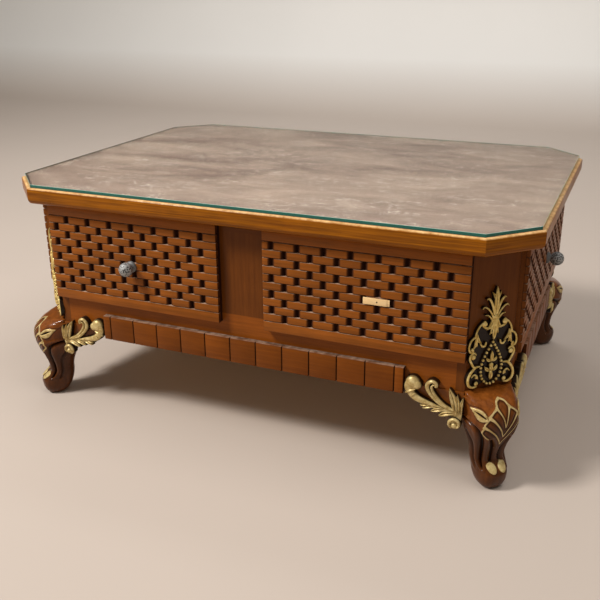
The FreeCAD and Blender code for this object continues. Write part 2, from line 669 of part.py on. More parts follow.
# Pierced corner ornament: palmette, tendrils, bead-set drop and scrolls
def applique_shape():
    """Foot of the ornament on z = 0, middle on x = 0."""
    thick = value("applique_thick")
    bar = value("applique_bar")
    half = value("applique_width") / 2
    tall = value("applique_height")
    collar = tall * 0.72
    drop_top = tall * 0.49
    drop_foot = tall * 0.065
    drop_half = half * 0.5
    drop_wide = tall * 0.25
    shapes = [leaf((0, collar - bar), (0, tall), half * 0.42, thick),
              leaf((0, collar + bar), (0, drop_top - bar), half * 0.62, thick)]
    ring = []
    for inset in (0, bar):
        side = half * 0.5 - inset
        edges = [Part.Arc(flat(0, drop_top - inset), flat(side * 0.62, tall * 0.37),
                          flat(side, drop_wide)).toShape(),
                 Part.Arc(flat(side, drop_wide), flat(0, drop_foot + inset),
                          flat(-side, drop_wide)).toShape(),
                 Part.Arc(flat(-side, drop_wide), flat(-side * 0.62, tall * 0.37),
                          flat(0, drop_top - inset)).toShape()]
        ring.append(raised(edges, thick))
    shapes.append(ring[0].cut(ring[1]))
    shapes.append(leaf((0, drop_foot), (0, drop_top - 3 * bar), drop_half * 0.6, thick))
    for start, middle, stop in (
            ((0, collar), (half * 0.25, tall * 0.8), (half * 0.46, tall * 0.885)),
            ((0, collar - bar), (half * 0.36, tall * 0.75), (half * 0.56, tall * 0.815)),
            ((0, tall * 0.6), (half * 0.34, tall * 0.63), (half * 0.42, tall * 0.66)),
            ((half * 0.4, tall * 0.655), (half * 0.76, tall * 0.6), (half * 0.86, tall * 0.47)),
            ((half * 0.84, tall * 0.5), (half * 0.66, tall * 0.46), (half * 0.4, tall * 0.4)),
            ((half * 0.88, tall * 0.47), (half * 0.8, tall * 0.42), (half * 0.84, tall * 0.36)),
            ((half * 0.84, tall * 0.37), (half * 0.62, tall * 0.26), (half * 0.92, tall * 0.15)),
            ((half * 0.94, tall * 0.16), (half * 0.84, tall * 0.04), (half * 0.42, tall * 0.05)),
            ((half * 0.5, tall * 0.2), (half * 0.68, tall * 0.16), (half * 0.72, tall * 0.05))):
        slope = math.atan2(stop[1] - start[1], stop[0] - start[0]) + math.pi / 2
        step = (bar / 2 * math.cos(slope), bar / 2 * math.sin(slope))
        outer = [(px + step[0], pz + step[1]) for px, pz in (start, middle, stop)]
        inner = [(px - step[0], pz - step[1]) for px, pz in (start, middle, stop)]
        shapes += mirrored_pair(between_arcs(outer, inner, thick))
    for x, z, radius in ((half * 0.42, tall * 0.655, bar), (half * 0.86, tall * 0.36, bar),
                         (half * 0.62, tall * 0.09, bar)):
        shapes += mirrored_pair(disc(x, z, radius, thick))
    return fused(shapes)


def make_appliques():
    shape = applique_shape()
    for corner, turn, x, y in CORNERS:
        piece = node(DOC.addObject("Part::Feature", "corner_applique_" + corner),
                     "corner_applique_" + corner)
        piece.Shape = shape
        place(piece, corner_base(x, y, "carcase_bottom + applique_lift"), turn)


# Cabriole leg: level sections along an S-curve, with flutes down its front
def swell(knots, z, round_end=False):
    """A size at a height: rounded at the foot, then level at each (height, size) knot.

    With round_end the last stretch turns over like a shoulder.
    """
    for index, ((low, first), (high, last)) in enumerate(zip(knots, knots[1:])):
        if z <= high:
            share = (z - low) / (high - low)
            if index == 0:
                share = math.sqrt(1 - (1 - share) ** 2)
            elif round_end and index == len(knots) - 2:
                share = 1 - math.sqrt(1 - share ** 2)
            else:
                share = share * share * (3 - 2 * share)
            return first + (last - first) * share
    return knots[-1][1]


def leg_levels(toe, ankle, knee, top):
    """Heights of the leg's sections, close together where it turns."""
    levels = [toe * share for share in (0, 0.12, 0.4, 1)]
    for low, high, shares in ((toe, ankle, (0.5, 1)), (ankle, knee, (0.33, 0.67, 1)),
                              (knee, top, (0.4, 0.7, 0.9, 1))):
        levels += [low + (high - low) * share for share in shares]
    return levels


def leg_shape():
    """Corner face of the carcase at y = 0, outwards towards -Y, floor at z = 0."""
    top = value("carcase_bottom")
    toe, ankle, knee = value("toe_height"), value("ankle_height"), value("knee_height")
    reach = [(0, value("foot_front")), (toe, value("toe_reach")), (ankle, value("ankle_reach")),
             (knee, value("knee_reach")), (top, value("shoulder_reach"))]
    back = [(0, -value("foot_back")), (ankle, value("ankle_back")), (top, value("leg_back"))]
    width = [(0, value("foot_width")), (toe, value("toe_width")), (ankle, value("ankle_width")),
             (knee, value("knee_width")), (top, value("shoulder_width"))]
    flute = [(0, 0), (toe, 0), (ankle, value("flute_depth")), (knee, 0), (top, 0)]
    ring_count = 24
    fluted = (1, 4, 20, 23)
    squareness = 0.07
    wires = []
    for z in leg_levels(toe, ankle, knee, top):
        front, rear, half = -swell(reach, z, True), swell(back, z), swell(width, z) / 2
        middle, depth, hollow = (front + rear) / 2, (rear - front) / 2, swell(flute, z)
        ring = []
        for step in range(ring_count):
            angle = 2 * math.pi * step / ring_count
            fullness = 1 + squareness * math.sin(2 * angle) ** 2
            sink = hollow if step in fluted else 0
            ring.append(FreeCAD.Vector((half * fullness - sink) * math.sin(angle),
                                       middle - (depth * fullness - sink) * math.cos(angle), z))
        wires.append(Part.makePolygon(ring + ring[:1]))
    return Part.makeLoft(wires, True, False)


def make_legs():
    shape = leg_shape()
    hole = Part.makeCylinder(
        value("bolt_diameter / 2 + bolt_clear"), value("bolt_depth"),
        FreeCAD.Vector(0, value(bolt_back()), value("carcase_bottom - bolt_depth")))
    shape = shape.cut(hole)
    for corner, turn, x, y in CORNERS:
        leg = node(DOC.addObject("Part::Feature", "leg_" + corner), "leg_" + corner)
        leg.Shape = shape
        place(leg, corner_base(x, y, "0"), turn)


def make_leg_fixings():
    """Corner blocks over the legs, and the bolts that hold a leg to its block."""
    inner = "((carcase_cut + panel_lap - rail_thick) * %.9f)" % ROOT_HALF
    back = "((panel_lap + rail_thick) * %.9f)" % ROOT_HALF
    wide = "(%s + leg_block_depth)" % inner
    deep = "(%s + leg_block_depth)" % back
    blocks = []
    bolts = []
    for corner, turn, x, y in CORNERS:
        block = DOC.addObject("PartDesign::Body", "leg_block_" + corner)
        plan = outline(block, "XY_Plane", "block_plan_" + corner,
                       [("-" + inner, back), (inner, back), (wide, deep), ("-" + wide, deep)])
        pad(block, plan, "leg_block_height")
        cut_through(block, round_hole(block, "XY_Plane", "block_hole_" + corner, "0", bolt_back(),
                                      "(bolt_diameter + 2 * bolt_clear)"))
        place(block, corner_base(x, y, FLOOR_TOP), turn)
        blocks.append(block)
        spot_x, spot_y = bolt_spot(x, y)
        shank = DOC.addObject("Part::Cylinder", "bolt_shank_" + corner)
        tie(shank, "Radius", "bolt_diameter / 2")
        tie(shank, "Height", "bolt_depth + bottom_thick + leg_block_height")
        place(shank, (spot_x, spot_y, "carcase_bottom - bolt_depth"))
        head = DOC.addObject("Part::Prism", "bolt_head_" + corner)
        head.Polygon = 6
        tie(head, "Circumradius", "bolt_diameter")
        tie(head, "Height", "bolt_head")
        place(head, (spot_x, spot_y, "%s + leg_block_height" % FLOOR_TOP))
        bolt = DOC.addObject("Part::Fuse", "leg_bolt_" + corner)
        bolt.Base = shank
        bolt.Tool = head
        bolts.append(bolt)
    group("leg_blocks", blocks)
    group("leg_bolts", bolts)


# Runners under the drawer sides, guides beside them and kickers over them
def make_drawer_slides():
    runner_z = "%s - runner_height" % OPEN_BOTTOM
    guide = "runner_height + guide_height"
    inner_open = "stile_width / 2"
    length_y = "2 * " + INNER_Y
    start_x = "partition_thick / 2"
    length_x = "(%s - partition_thick / 2)" % INNER_X
    kicker = "upper_rail_height"
    setback = "(%s - guide_setback)" % INNER_Y
    end_guide = "(%s - guide_setback)" % length_x
    left, right = "-" + OPEN_X, "-%s - runner_width" % inner_open
    near, far = "-" + OPEN_Y, "%s - runner_width" % OPEN_Y
    group("drawer_runners", [
        box("front_runner_left", ("runner_width", length_y, "runner_height"),
            (left, "-" + INNER_Y, runner_z)),
        box("front_runner_right", ("runner_width", length_y, "runner_height"),
            (right, "-" + INNER_Y, runner_z)),
        box("end_runner_near", (length_x, "runner_width", "runner_height"),
            (start_x, near, runner_z)),
        box("end_runner_far", (length_x, "runner_width", "runner_height"),
            (start_x, far, runner_z)),
        box("front_guide_left", ("guide_width", "2 * " + setback, guide),
            ("%s - guide_width" % left, "-" + setback, runner_z)),
        box("front_guide_right", ("stile_width / 2 - partition_thick / 2", length_y, guide),
            ("-" + inner_open, "-" + INNER_Y, runner_z)),
        box("end_guide_near", (end_guide, "guide_width", guide),
            (start_x, "%s - guide_width" % near, runner_z)),
        box("end_guide_far", (end_guide, "guide_width", guide), (start_x, OPEN_Y, runner_z)),
    ])
    group("drawer_kickers", [
        box("front_kicker_left", ("runner_width", length_y, kicker),
            (left, "-" + INNER_Y, OPEN_TOP)),
        box("front_kicker_right", ("runner_width", length_y, kicker),
            (right, "-" + INNER_Y, OPEN_TOP)),
        box("end_kicker_near", (length_x, "runner_width", kicker), (start_x, near, OPEN_TOP)),
        box("end_kicker_far", (length_x, "runner_width", kicker), (start_x, far, OPEN_TOP)),
    ])


# Drawers: a woven front, two grooved sides, a back and a bottom, with a ball knob
def make_drawer(name, origin, turn, opening, bay, panel, columns, long_start):
    """origin is the middle of the opening's lower edge, on the face of the carcase.

    bay is the room from that face to what stands behind the drawer.
    """
    depth = "(%s + front_gap - drawer_room)" % bay
    side_height = "(%s - slide_gap - head_gap)" % OPEN_HEIGHT
    outer = "(%s / 2 - side_gap)" % opening
    inside = "(%s - drawer_board)" % outer
    floor_z = "slide_gap + floor_rise"

    def at(across, inward, height):
        x, y = turned(across, inward, turn)
        return ("%s + %s" % (origin[0], x), "%s + %s" % (origin[1], y),
                "%s + %s" % (origin[2], height))

    front_face = "-(panel_thick + front_gap)"
    front = woven_board(name + "_front", panel, columns, long_start, screw_hole=True)
    place(front, at("-%s / 2" % panel, front_face, "-panel_lap"), turn)
    for hand, across, groove_at in (("left", "-" + outer, "-%s - floor_groove" % inside),
                                    ("right", inside, inside)):
        side = box("%s_%s_blank" % (name, hand), ("drawer_board", depth, side_height),
                   at(across, "-front_gap", "slide_gap"), turn)
        groove = box("%s_%s_groove" % (name, hand),
                     ("floor_groove", depth, "drawer_floor"),
                     at(groove_at, "-front_gap", floor_z), turn)
        label = "%s_%s_side" % (name, hand)
        cut = node(DOC.addObject("Part::Cut", label), label)
        cut.Base = side
        cut.Tool = groove
    board(name + "_bottom",
          ("2 * (%s + floor_groove)" % inside, depth, "drawer_floor"),
          at("-(%s + floor_groove)" % inside, "-front_gap", floor_z), turn)
    board(name + "_back",
          ("2 * " + inside, "drawer_board", "%s - floor_rise - drawer_floor" % side_height),
          at("-" + inside, "%s - front_gap - drawer_board" % depth, floor_z + " + drawer_floor"),
          turn)
    make_knob(name, at("0", front_face, "%s / 2 - panel_lap - knob_drop" % PANEL_HEIGHT), turn)


def turned_piece(label, points, bends, base, turn):
    """A turned piece: half its outline, spun about Y."""
    body = new_body(label)
    sketch = outline(body, "XY_Plane", label + "_half", points, bends)
    spin = body.newObject("PartDesign::Revolution", label + "_turning")
    spin.Profile = sketch
    spin.ReferenceAxis = (sketch, ["V_Axis"])
    spin.Angle = 360
    place(body, base, turn)


def make_knob(name, base, turn):
    bore = "(screw_diameter / 2 + screw_clear)"
    seat = "base_diameter / 2"
    turned_piece(name + "_knob_base",
                 [(bore, "0"), (seat, "0"), ("base_face / 2", "-base_height"),
                  (bore, "-base_height")],
                 [(1, ("base_face / 2 + (base_diameter - base_face) * 0.42", "-base_height * 0.72"),
                   "base_height")], base, turn)
    ball = "(knob_diameter / 2)"
    neck = "(knob_neck / 2)"
    neck_y = "-(knob_reach - sqrt(%s ^ 2 - %s ^ 2))" % (ball, neck)
    turned_piece(name + "_knob",
                 [(bore, "-base_height"), (neck, "-base_height"), (neck, neck_y),
                  ("0", "-(knob_reach + %s)" % ball), ("0", "-(base_height + screw_bite)"),
                  (bore, "-(base_height + screw_bite)")],
                 [(2, (ball, "-knob_reach"), ball)], base, turn)
    turned_piece(name + "_knob_screw",
                 [("0", "-(base_height + screw_bite - screw_clear)"),
                  ("screw_diameter / 2", "-(base_height + screw_bite - screw_clear)"),
                  ("screw_diameter / 2", "panel_thick"), ("screw_head / 2", "panel_thick"),
                  ("screw_head / 2", "panel_thick + screw_head_height"),
                  ("0", "panel_thick + screw_head_height")], (), base, turn)


def make_drawers():
    middle = "-(%s + stile_width / 2) / 2" % OPEN_X
    make_drawer("front_drawer", (middle, "-" + FACE_Y, OPEN_BOTTOM), 0,
                "(%s - stile_width / 2)" % OPEN_X, "(%s + %s)" % (FACE_Y, INNER_Y), FRONT_PANEL,
                "weave_columns", True)
    make_drawer("end_drawer", (FACE_X, "0", OPEN_BOTTOM), 90,
                "(2 * %s)" % OPEN_Y, "(%s - partition_thick / 2)" % FACE_X, END_PANEL,
                "end_columns", False)


def check_and_write():
    DOC.recompute()
    for item in DOC.Objects:
        if "Invalid" in item.State or "Error" in item.State:
            raise RuntimeError("%s did not build" % item.Label)
    for item in NODES:
        if item.Shape.isNull() or not item.Shape.isValid():
            raise RuntimeError("%s has no valid shape" % item.Label)
    os.makedirs("parts", exist_ok=True)
    for item in NODES:
        item.Shape.exportStep("parts/%s.step" % item.Label)


make_glass()
make_top_panel()
make_mouldings()
make_posts()
make_rails()
make_inner_boards()
make_fixed_panels()
make_apron_strips()
make_wings()
make_appliques()
make_legs()
make_leg_fixings()
make_drawer_slides()
make_drawers()
check_and_write()
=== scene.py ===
"""Looks of an octagonal coffee table with two drawers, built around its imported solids.

Metres, in the frame of the solids: floor at z = 0, +X along the length, -Y towards the front.
"""
import math

import bmesh
import bpy
import numpy as np
from mathutils import Matrix, Vector


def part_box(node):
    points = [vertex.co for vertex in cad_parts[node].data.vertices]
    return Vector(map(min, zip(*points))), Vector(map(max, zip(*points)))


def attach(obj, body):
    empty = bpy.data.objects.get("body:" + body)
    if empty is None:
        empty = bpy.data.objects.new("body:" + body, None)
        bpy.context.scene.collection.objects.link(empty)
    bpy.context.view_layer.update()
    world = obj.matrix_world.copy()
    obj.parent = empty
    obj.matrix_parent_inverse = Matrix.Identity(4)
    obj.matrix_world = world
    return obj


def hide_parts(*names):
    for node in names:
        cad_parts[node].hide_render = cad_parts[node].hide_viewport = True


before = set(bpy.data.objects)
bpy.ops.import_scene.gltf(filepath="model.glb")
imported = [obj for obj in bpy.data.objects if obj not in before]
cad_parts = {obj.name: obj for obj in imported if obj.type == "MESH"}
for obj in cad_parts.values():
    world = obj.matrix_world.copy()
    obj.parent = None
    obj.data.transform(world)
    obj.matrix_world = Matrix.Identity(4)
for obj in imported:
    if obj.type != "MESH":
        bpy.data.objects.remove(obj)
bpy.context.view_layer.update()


# Cabriole legs
# Carved hardwood, bolted up under the corners. Red-brown stain under gloss varnish; the veins of the
# knee leaf, the almond leaf on each side of it and the buttons on the foot are gilded with a brush.
MM = 0.001
CORNERS = {"front_right": 45, "back_right": 135, "back_left": 225, "front_left": 315}
CORNER_CUT = 62 * MM
post_low, post_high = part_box("corner_post_back_right")
FACE_X, FACE_Y = post_high.x, post_high.y
CARCASE_FOOT = post_low.z
LEG_TOP = CARCASE_FOOT / MM
CAP_TOP = LEG_TOP + 8
KNEE_HEIGHT, KNEE_REACH = 131, 59
LEG_REACH = [(0, 41), (28, 56), (54, 37), (KNEE_HEIGHT, KNEE_REACH)]
LEG_BACK = [(0, -21), (54, 11), (LEG_TOP, 52)]
LEG_WIDTH = [(0, 25), (28, 53), (54, 57), (KNEE_HEIGHT, 86), (LEG_TOP, 94)]
LEG_SQUARENESS = 0.07
LEG_ROWS, LEG_COLUMNS, CAP_ROWS = 180, 176, 12
HALF_FACE = 43.5
WOOD_SPECULAR, WOOD_COAT = 0.09, 0.08
# Lines of the carving on one half of the leg: degrees from the front, height, half width
KNEE_BORDER = [(0, 165, 0.9), (9, 162, 1), (14, 155.5, 1.5), (23, 150.5, 1), (32, 144, 1.5),
               (36.5, 138, 1), (43, 130, 1.1), (44, 123, 1.5), (49, 113, 1), (41, 105, 0.8),
               (34, 101, 0.7)]
KNEE_RIBS = [
    [(14, 155, 2.2), (10, 149, 1.1), (4.5, 139, 0.8), (0, 124, 0.7)],
    [(33, 142, 3), (23, 135, 1.4), (9, 119, 0.9), (0, 104, 0.7)],
    [(44, 124, 2.8), (34, 120, 1.3), (20, 110, 0.9), (6, 95, 0.7), (0, 86, 0.6)],
]
INNER_FLUTE = [(27, 97, 1.4), (18, 80, 2.3), (15.5, 62, 2.4), (17, 52, 2.1), (22, 46, 1.3)]
OUTER_FLUTE = [(100, 125, 1.4), (76, 121, 2), (59, 114, 2.6), (50, 100, 2.9), (48, 80, 2.9),
               (49.5, 55, 2.5), (55, 40, 1.4)]
SIDE_FLUTE = [(104, 98, 2.2), (86, 80, 2.8), (84, 55, 2.8), (88, 38, 2.2)]
FLUTE_DEPTHS = [(INNER_FLUTE, 4.0), (OUTER_FLUTE, 5.4), (SIDE_FLUTE, 2.6)]
ALMOND_ENDS = ((69, 153), (36.5, 136.5))
ALMOND_HALF_WIDTH = 10.5
ALMOND_SLIT = [(58, 148, 0.8), (49, 145, 2.3), (41, 140.5, 1.2)]
BUTTON_SPOT, BUTTON_RADIUS = (20, 41), 8.2
# Height of the ribs, swell of the leaf between them, height of the almond leaf, depth of its slit, height
# of a button's rim
RIB_RISE, LEAF_SWELL, ALMOND_RISE, SLIT_DEPTH, BUTTON_RISE = 1.6, 2.2, 2.8, 2.2, 1.6


def curve_through(points, steps=6):
    """A smooth curve through points, given with as many columns as the points have."""
    knots = np.array(points, float)
    knots = np.vstack([2 * knots[0] - knots[1], knots, 2 * knots[-1] - knots[-2]])
    share = (np.arange(steps) / steps)[:, None]
    runs = []
    for before, start, stop, after in zip(knots, knots[1:], knots[2:], knots[3:]):
        runs.append(start + 0.5 * share * (stop - before)
                    + share ** 2 * (before - 2.5 * start + 2 * stop - 0.5 * after)
                    + 0.5 * share ** 3 * (3 * start - before - 3 * stop + after))
    return np.vstack(runs + [knots[-2:-1]])


def swell(knots, height):
    """A size at a height: rounded at the foot, then level at each (height, size) knot."""
    for index, ((low, first), (high, last)) in enumerate(zip(knots, knots[1:])):
        if height <= high:
            share = (height - low) / (high - low)
            share = math.sqrt(1 - (1 - share) ** 2) if index == 0 else share * share * (3 - 2 * share)
            return first + (last - first) * share
    return knots[-1][1]


def leg_reach(height):
    """How far the leg stands out of the corner face; a quarter ellipse closes it over the knee."""
    if height <= KNEE_HEIGHT:
        return swell(LEG_REACH, height)
    return KNEE_REACH * math.sqrt(1 - ((height - KNEE_HEIGHT) / (CAP_TOP - KNEE_HEIGHT)) ** 2)


def leg_ring(height):
    """Front, back and half width of the plain leg at a height, and its mean radius."""
    front, back = -leg_reach(height), swell(LEG_BACK, height)
    half = swell(LEG_WIDTH, height) / 2
    return front, back, half, (half + (back - front) / 2) / 2


def unrolled(line):
    """A carving line in millimetres across the unrolled leg."""
    flat = [(math.radians(angle) * leg_ring(height)[3], height) + tuple(rest)
            for angle, height, *rest in line]
    return curve_through(flat)


def near_line(across, height, line):
    """Distance from points of the unrolled leg to a line, and the line's half width there."""
    best = np.full(across.shape, 1e3)
    width = np.zeros(across.shape)
    for (a0, z0, w0), (a1, z1, w1) in zip(line, line[1:]):
        run = max((a1 - a0) ** 2 + (z1 - z0) ** 2, 1e-6)
        share = np.clip(((across - a0) * (a1 - a0) + (height - z0) * (z1 - z0)) / run, 0, 1)
        gap = np.hypot(across - a0 - share * (a1 - a0), height - z0 - share * (z1 - z0))
        width = np.where(gap < best, w0 + share * (w1 - w0), width)
        best = np.minimum(gap, best)
    return best, width


def ramp(values):
    """0 below 0, 1 above 1, and smooth between."""
    held = np.clip(values, 0, 1)
    return held * held * (3 - 2 * held)


def carve(angles, heights, radius):
    """How far the carving stands out of the plain leg, where it is gilded and where painted shade darkens
    it.
    """
    across = np.abs(angles) * radius
    lines = [near_line(across, heights, unrolled(line)) for line in [KNEE_BORDER] + KNEE_RIBS]
    gap = np.min([line[0] - line[1] for line in lines], axis=0)
    edge = np.array(sorted(KNEE_BORDER, key=lambda knot: knot[1]))
    reach = np.interp(heights, edge[:, 1], np.radians(edge[:, 0])) * radius
    in_leaf = ramp((reach - across + 1) / 2) * ramp((heights - edge[0, 1]) / 4)
    rise = RIB_RISE * np.exp(-(np.maximum(gap, 0) / 1.2) ** 2)
    rise += in_leaf * LEAF_SWELL * (1 - np.exp(-(np.maximum(gap, 0) / 4.5) ** 2))
    gilt = ramp(0.6 - gap / 0.9)
    shade = 0.55 * in_leaf * np.exp(-((gap - 1.6) / 1.4) ** 2) + 0.25 * in_leaf
    for line, depth in FLUTE_DEPTHS:
        gap, width = near_line(across, heights, unrolled(line))
        groove = np.exp(-(gap / width) ** 2)
        rise += 0.3 * depth * np.exp(-((gap - 3 * width) / (1.5 * width)) ** 2) - depth * groove
        shade = np.maximum(shade, groove * min(1, depth / 4))
    (a0, z0), (a1, z1) = [(math.radians(angle) * leg_ring(z)[3], z) for angle, z in ALMOND_ENDS]
    length = math.hypot(a1 - a0, z1 - z0)
    along = ((across - a0) * (a1 - a0) + (heights - z0) * (z1 - z0)) / length ** 2
    aside = np.abs((across - a0) * (z1 - z0) - (heights - z0) * (a1 - a0)) / length
    room = ALMOND_HALF_WIDTH * np.sin(math.pi * np.clip(along, 0, 1) ** 1.3) - aside
    almond = ramp(room / 1.2)
    gap, width = near_line(across, heights, unrolled(ALMOND_SLIT))
    slit = ramp(1.5 - gap / width)
    rise = rise * (1 - almond) + almond * (ALMOND_RISE - SLIT_DEPTH * slit)
    gilt = np.maximum(gilt * (1 - almond), almond * (1 - slit))
    rim = 0.7 * np.exp(-((room + 1.2) / 1.2) ** 2)
    shade = np.maximum(shade * (1 - almond), np.maximum(almond * slit, rim))
    spot = math.radians(BUTTON_SPOT[0]) * leg_ring(BUTTON_SPOT[1])[3]
    inside = 1 - np.hypot(across - spot, heights - BUTTON_SPOT[1]) / BUTTON_RADIUS
    button = ramp(inside * BUTTON_RADIUS / 1.1)
    rise = rise * (1 - button) + button * BUTTON_RISE * (1 + np.sqrt(np.clip(inside, 0, 1)))
    return rise, np.maximum(gilt * (1 - button), button), shade * (1 - button)


def ring_faces(count, rim):
    """Quads between rings of rim points each, count points in all, and a cap at each end."""
    faces = [tuple(range(rim)), tuple(range(count - rim, count))]
    for start in range(0, count - rim, rim):
        for step in range(rim):
            after = (step + 1) % rim
            faces.append((start + step, start + after, start + rim + after, start + rim + step))
    return faces


def leg_mesh():
    """Points, faces and fields of a leg. Corner face of the carcase at y = 0, outwards -Y."""
    share = np.linspace(-1, 1, LEG_COLUMNS, endpoint=False)
    angles = math.pi * share * (0.55 + 0.45 * share ** 2)
    heights = (LEG_TOP - 0.3) * (0.5 - 0.5 * np.cos(np.linspace(0, math.pi, LEG_ROWS)))
    heights = np.append(heights, np.linspace(LEG_TOP + 0.2, CAP_TOP - 0.15, CAP_ROWS))
    rings = np.array([leg_ring(min(height, LEG_TOP)) for height in heights])
    front, back, half, radius = [rings[:, index:index + 1] for index in range(4)]
    turn, level = np.meshgrid(angles, heights)
    fullness = 1 + LEG_SQUARENESS * np.sin(2 * turn) ** 2
    x = half * fullness * np.sin(turn)
    middle = (front + back) / 2
    y = middle - (back - front) / 2 * fullness * np.cos(turn)
    rise, gilt, shade = carve(turn, level, radius)
    rise = rise * ramp((CAP_TOP - level) / 4) * ramp(level / 6)
    length = np.hypot(x, y - middle)
    x, y = x + rise * x / length, y + rise * (y - middle) / length
    shrink = np.array([leg_reach(height) for height in heights])[:, None] / leg_reach(LEG_TOP)
    in_cap = level > LEG_TOP
    x = np.where(in_cap, np.clip(x, -HALF_FACE, HALF_FACE), x)
    y = np.where(in_cap, np.minimum(y * shrink, -0.2), y)
    points = np.stack([x, y, level], axis=2).reshape(-1, 3) * MM
    return points, ring_faces(len(points), LEG_COLUMNS), {"gilt": gilt.ravel(), "shade": shade.ravel()}


def feed(tree, node, inputs):
    """Gives a node its inputs: values, or sockets to link."""
    for name, given in inputs.items():
        if isinstance(given, bpy.types.NodeSocket):
            tree.links.new(given, node.inputs[name])
        else:
            node.inputs[name].default_value = given


def add_node(tree, kind, inputs, output=0, **settings):
    """One output of a new node, made with its settings and inputs."""
    made = tree.nodes.new("ShaderNode" + kind)
    for name, setting in settings.items():
        setattr(made, name, setting)
    feed(tree, made, inputs)
    return made.outputs[output]


def ink(code):
    """An sRGB hex colour as linear numbers."""
    parts = [int(code[start:start + 2], 16) / 255 for start in (1, 3, 5)]
    return [part / 12.92 if part < 0.04045 else ((part + 0.055) / 1.055) ** 2.4
            for part in parts] + [1]


def new_material(name):
    """An empty material with its output and one Principled shader."""
    material = bpy.data.materials.new(name)
    material.use_nodes = True
    tree = material.node_tree
    shader = next(item for item in tree.nodes if item.type == "BSDF_PRINCIPLED")
    return material, tree, shader

# What add_node needs for a blend of two colours: inputs 0, 6 and 7 are the share and the two colours
BLEND = {"output": 2, "data_type": "RGBA"}
MULTIPLY = {**BLEND, "blend_type": "MULTIPLY"}
PORE_MM = 0.9


def grain_scale(along, long_mm, fine_mm):
    """Cells per metre of a streaky pattern that runs along one axis."""
    return [1 / (long_mm * MM) if axis == along else 1 / (fine_mm * MM) for axis in "XYZ"]


def wood_colour(tree, along, light, dark, streak_mm=5, pore_dark=0.88):
    """Streaky stain: broad soft figure, narrow darker pores, and a few cloudy patches.

    Real pores are about 0.2 mm wide. They are drawn coarser, at PORE_MM, so that they show.
    """
    place = add_node(tree, "TexCoord", {}, "Object")
    streaks = add_node(tree, "Mapping", {"Vector": place, "Scale": grain_scale(along, 160, streak_mm)})
    figure = add_node(tree, "TexNoise", {"Vector": streaks, "Scale": 1, "Detail": 5, "Roughness": 0.6,
                                         "Distortion": 0.4})
    pores = add_node(tree, "Mapping", {"Vector": place, "Scale": grain_scale(along, 22, PORE_MM)})
    pore = add_node(tree, "TexNoise", {"Vector": pores, "Scale": 1, "Detail": 3, "Roughness": 0.7})
    cloud = add_node(tree, "TexNoise", {"Vector": place, "Scale": 1 / (70 * MM), "Detail": 2})
    share = add_node(tree, "MapRange", {"Value": figure, "From Min": 0.32, "From Max": 0.68})
    colour = add_node(tree, "Mix", {0: share, 6: ink(dark), 7: ink(light)}, **BLEND)
    line = add_node(tree, "MapRange", {"Value": pore, "From Min": 0.36, "From Max": 0.52,
                                       "To Min": pore_dark, "To Max": 1})
    patch = add_node(tree, "MapRange", {"Value": cloud, "From Min": 0.3, "From Max": 0.7,
                                        "To Min": 0.86, "To Max": 1.1})
    for factor in (line, patch):
        colour = add_node(tree, "Mix", {0: 1, 6: colour, 7: factor}, **MULTIPLY)
    return colour, pore, cloud


def varnished(name, along, light, dark, ledge_dust_and_highlight=None):
    """Stained hardwood under varnish: a thin clear film over a slightly open grain.

    ledge_dust_and_highlight is for bricks and blocks, and says how pale their upward ledges get, from
    dust and a painted highlight. Their field "tone" shifts the stain of each one, and "recess" darkens
    and dulls what lies deep, as grime and painted shade.
    """
    material, tree, shader = new_material(name)
    colour, pore, cloud = wood_colour(tree, along, light, dark)
    gloss = add_node(tree, "MapRange", {"Value": cloud, "From Min": 0.3, "From Max": 0.7,
                                        "To Min": 0.34, "To Max": 0.48})
    film = WOOD_COAT
    if ledge_dust_and_highlight:
        tone = add_node(tree, "Attribute", {}, "Fac", attribute_name="tone")
        colour = add_node(tree, "Mix", {0: 1, 6: colour, 7: tone}, **MULTIPLY)
        # recess: grime and painted shade, darker and duller the deeper a surface lies
        deep = add_node(tree, "Attribute", {}, "Fac", attribute_name="recess")
        colour = add_node(tree, "Mix", {0: deep, 6: colour, 7: ink("#29120a")}, **BLEND)
        gloss = add_node(tree, "MapRange", {"Value": deep, "To Min": gloss, "To Max": 0.9})
        film = add_node(tree, "MapRange", {"Value": deep, "To Min": WOOD_COAT, "To Max": 0})
        # Upward ledges turn pale: dust, and a painted highlight where light from above catches them
        facing = add_node(tree, "NewGeometry", {}, "True Normal")
        up = add_node(tree, "SeparateXYZ", {0: facing}, "Z")
        ledge = add_node(tree, "MapRange", {"Value": up, "From Min": 0.5, "From Max": 0.97})
        place = add_node(tree, "TexCoord", {}, "Object")
        drift = add_node(tree, "TexNoise", {"Vector": place, "Scale": 1 / (14 * MM), "Detail": 2})
        lying = add_node(tree, "MapRange", {"Value": drift, "From Min": 0.35, "From Max": 0.65,
                                            "To Min": 0.25 * ledge_dust_and_highlight, "To Max": ledge_dust_and_highlight})
        dust_and_highlight = add_node(tree, "Math", {0: ledge, 1: lying}, operation="MULTIPLY")
        colour = add_node(tree, "Mix", {0: dust_and_highlight, 6: colour, 7: ink("#c3a48d")}, **BLEND)
    bump = add_node(tree, "Bump", {"Height": pore, "Strength": 0.12, "Distance": 0.3 * MM})
    feed(tree, shader, {"Base Color": colour, "Roughness": gloss, "Normal": bump, "Coat Weight": film,
                        "Coat Roughness": 0.14, "Specular IOR Level": WOOD_SPECULAR})
    return material


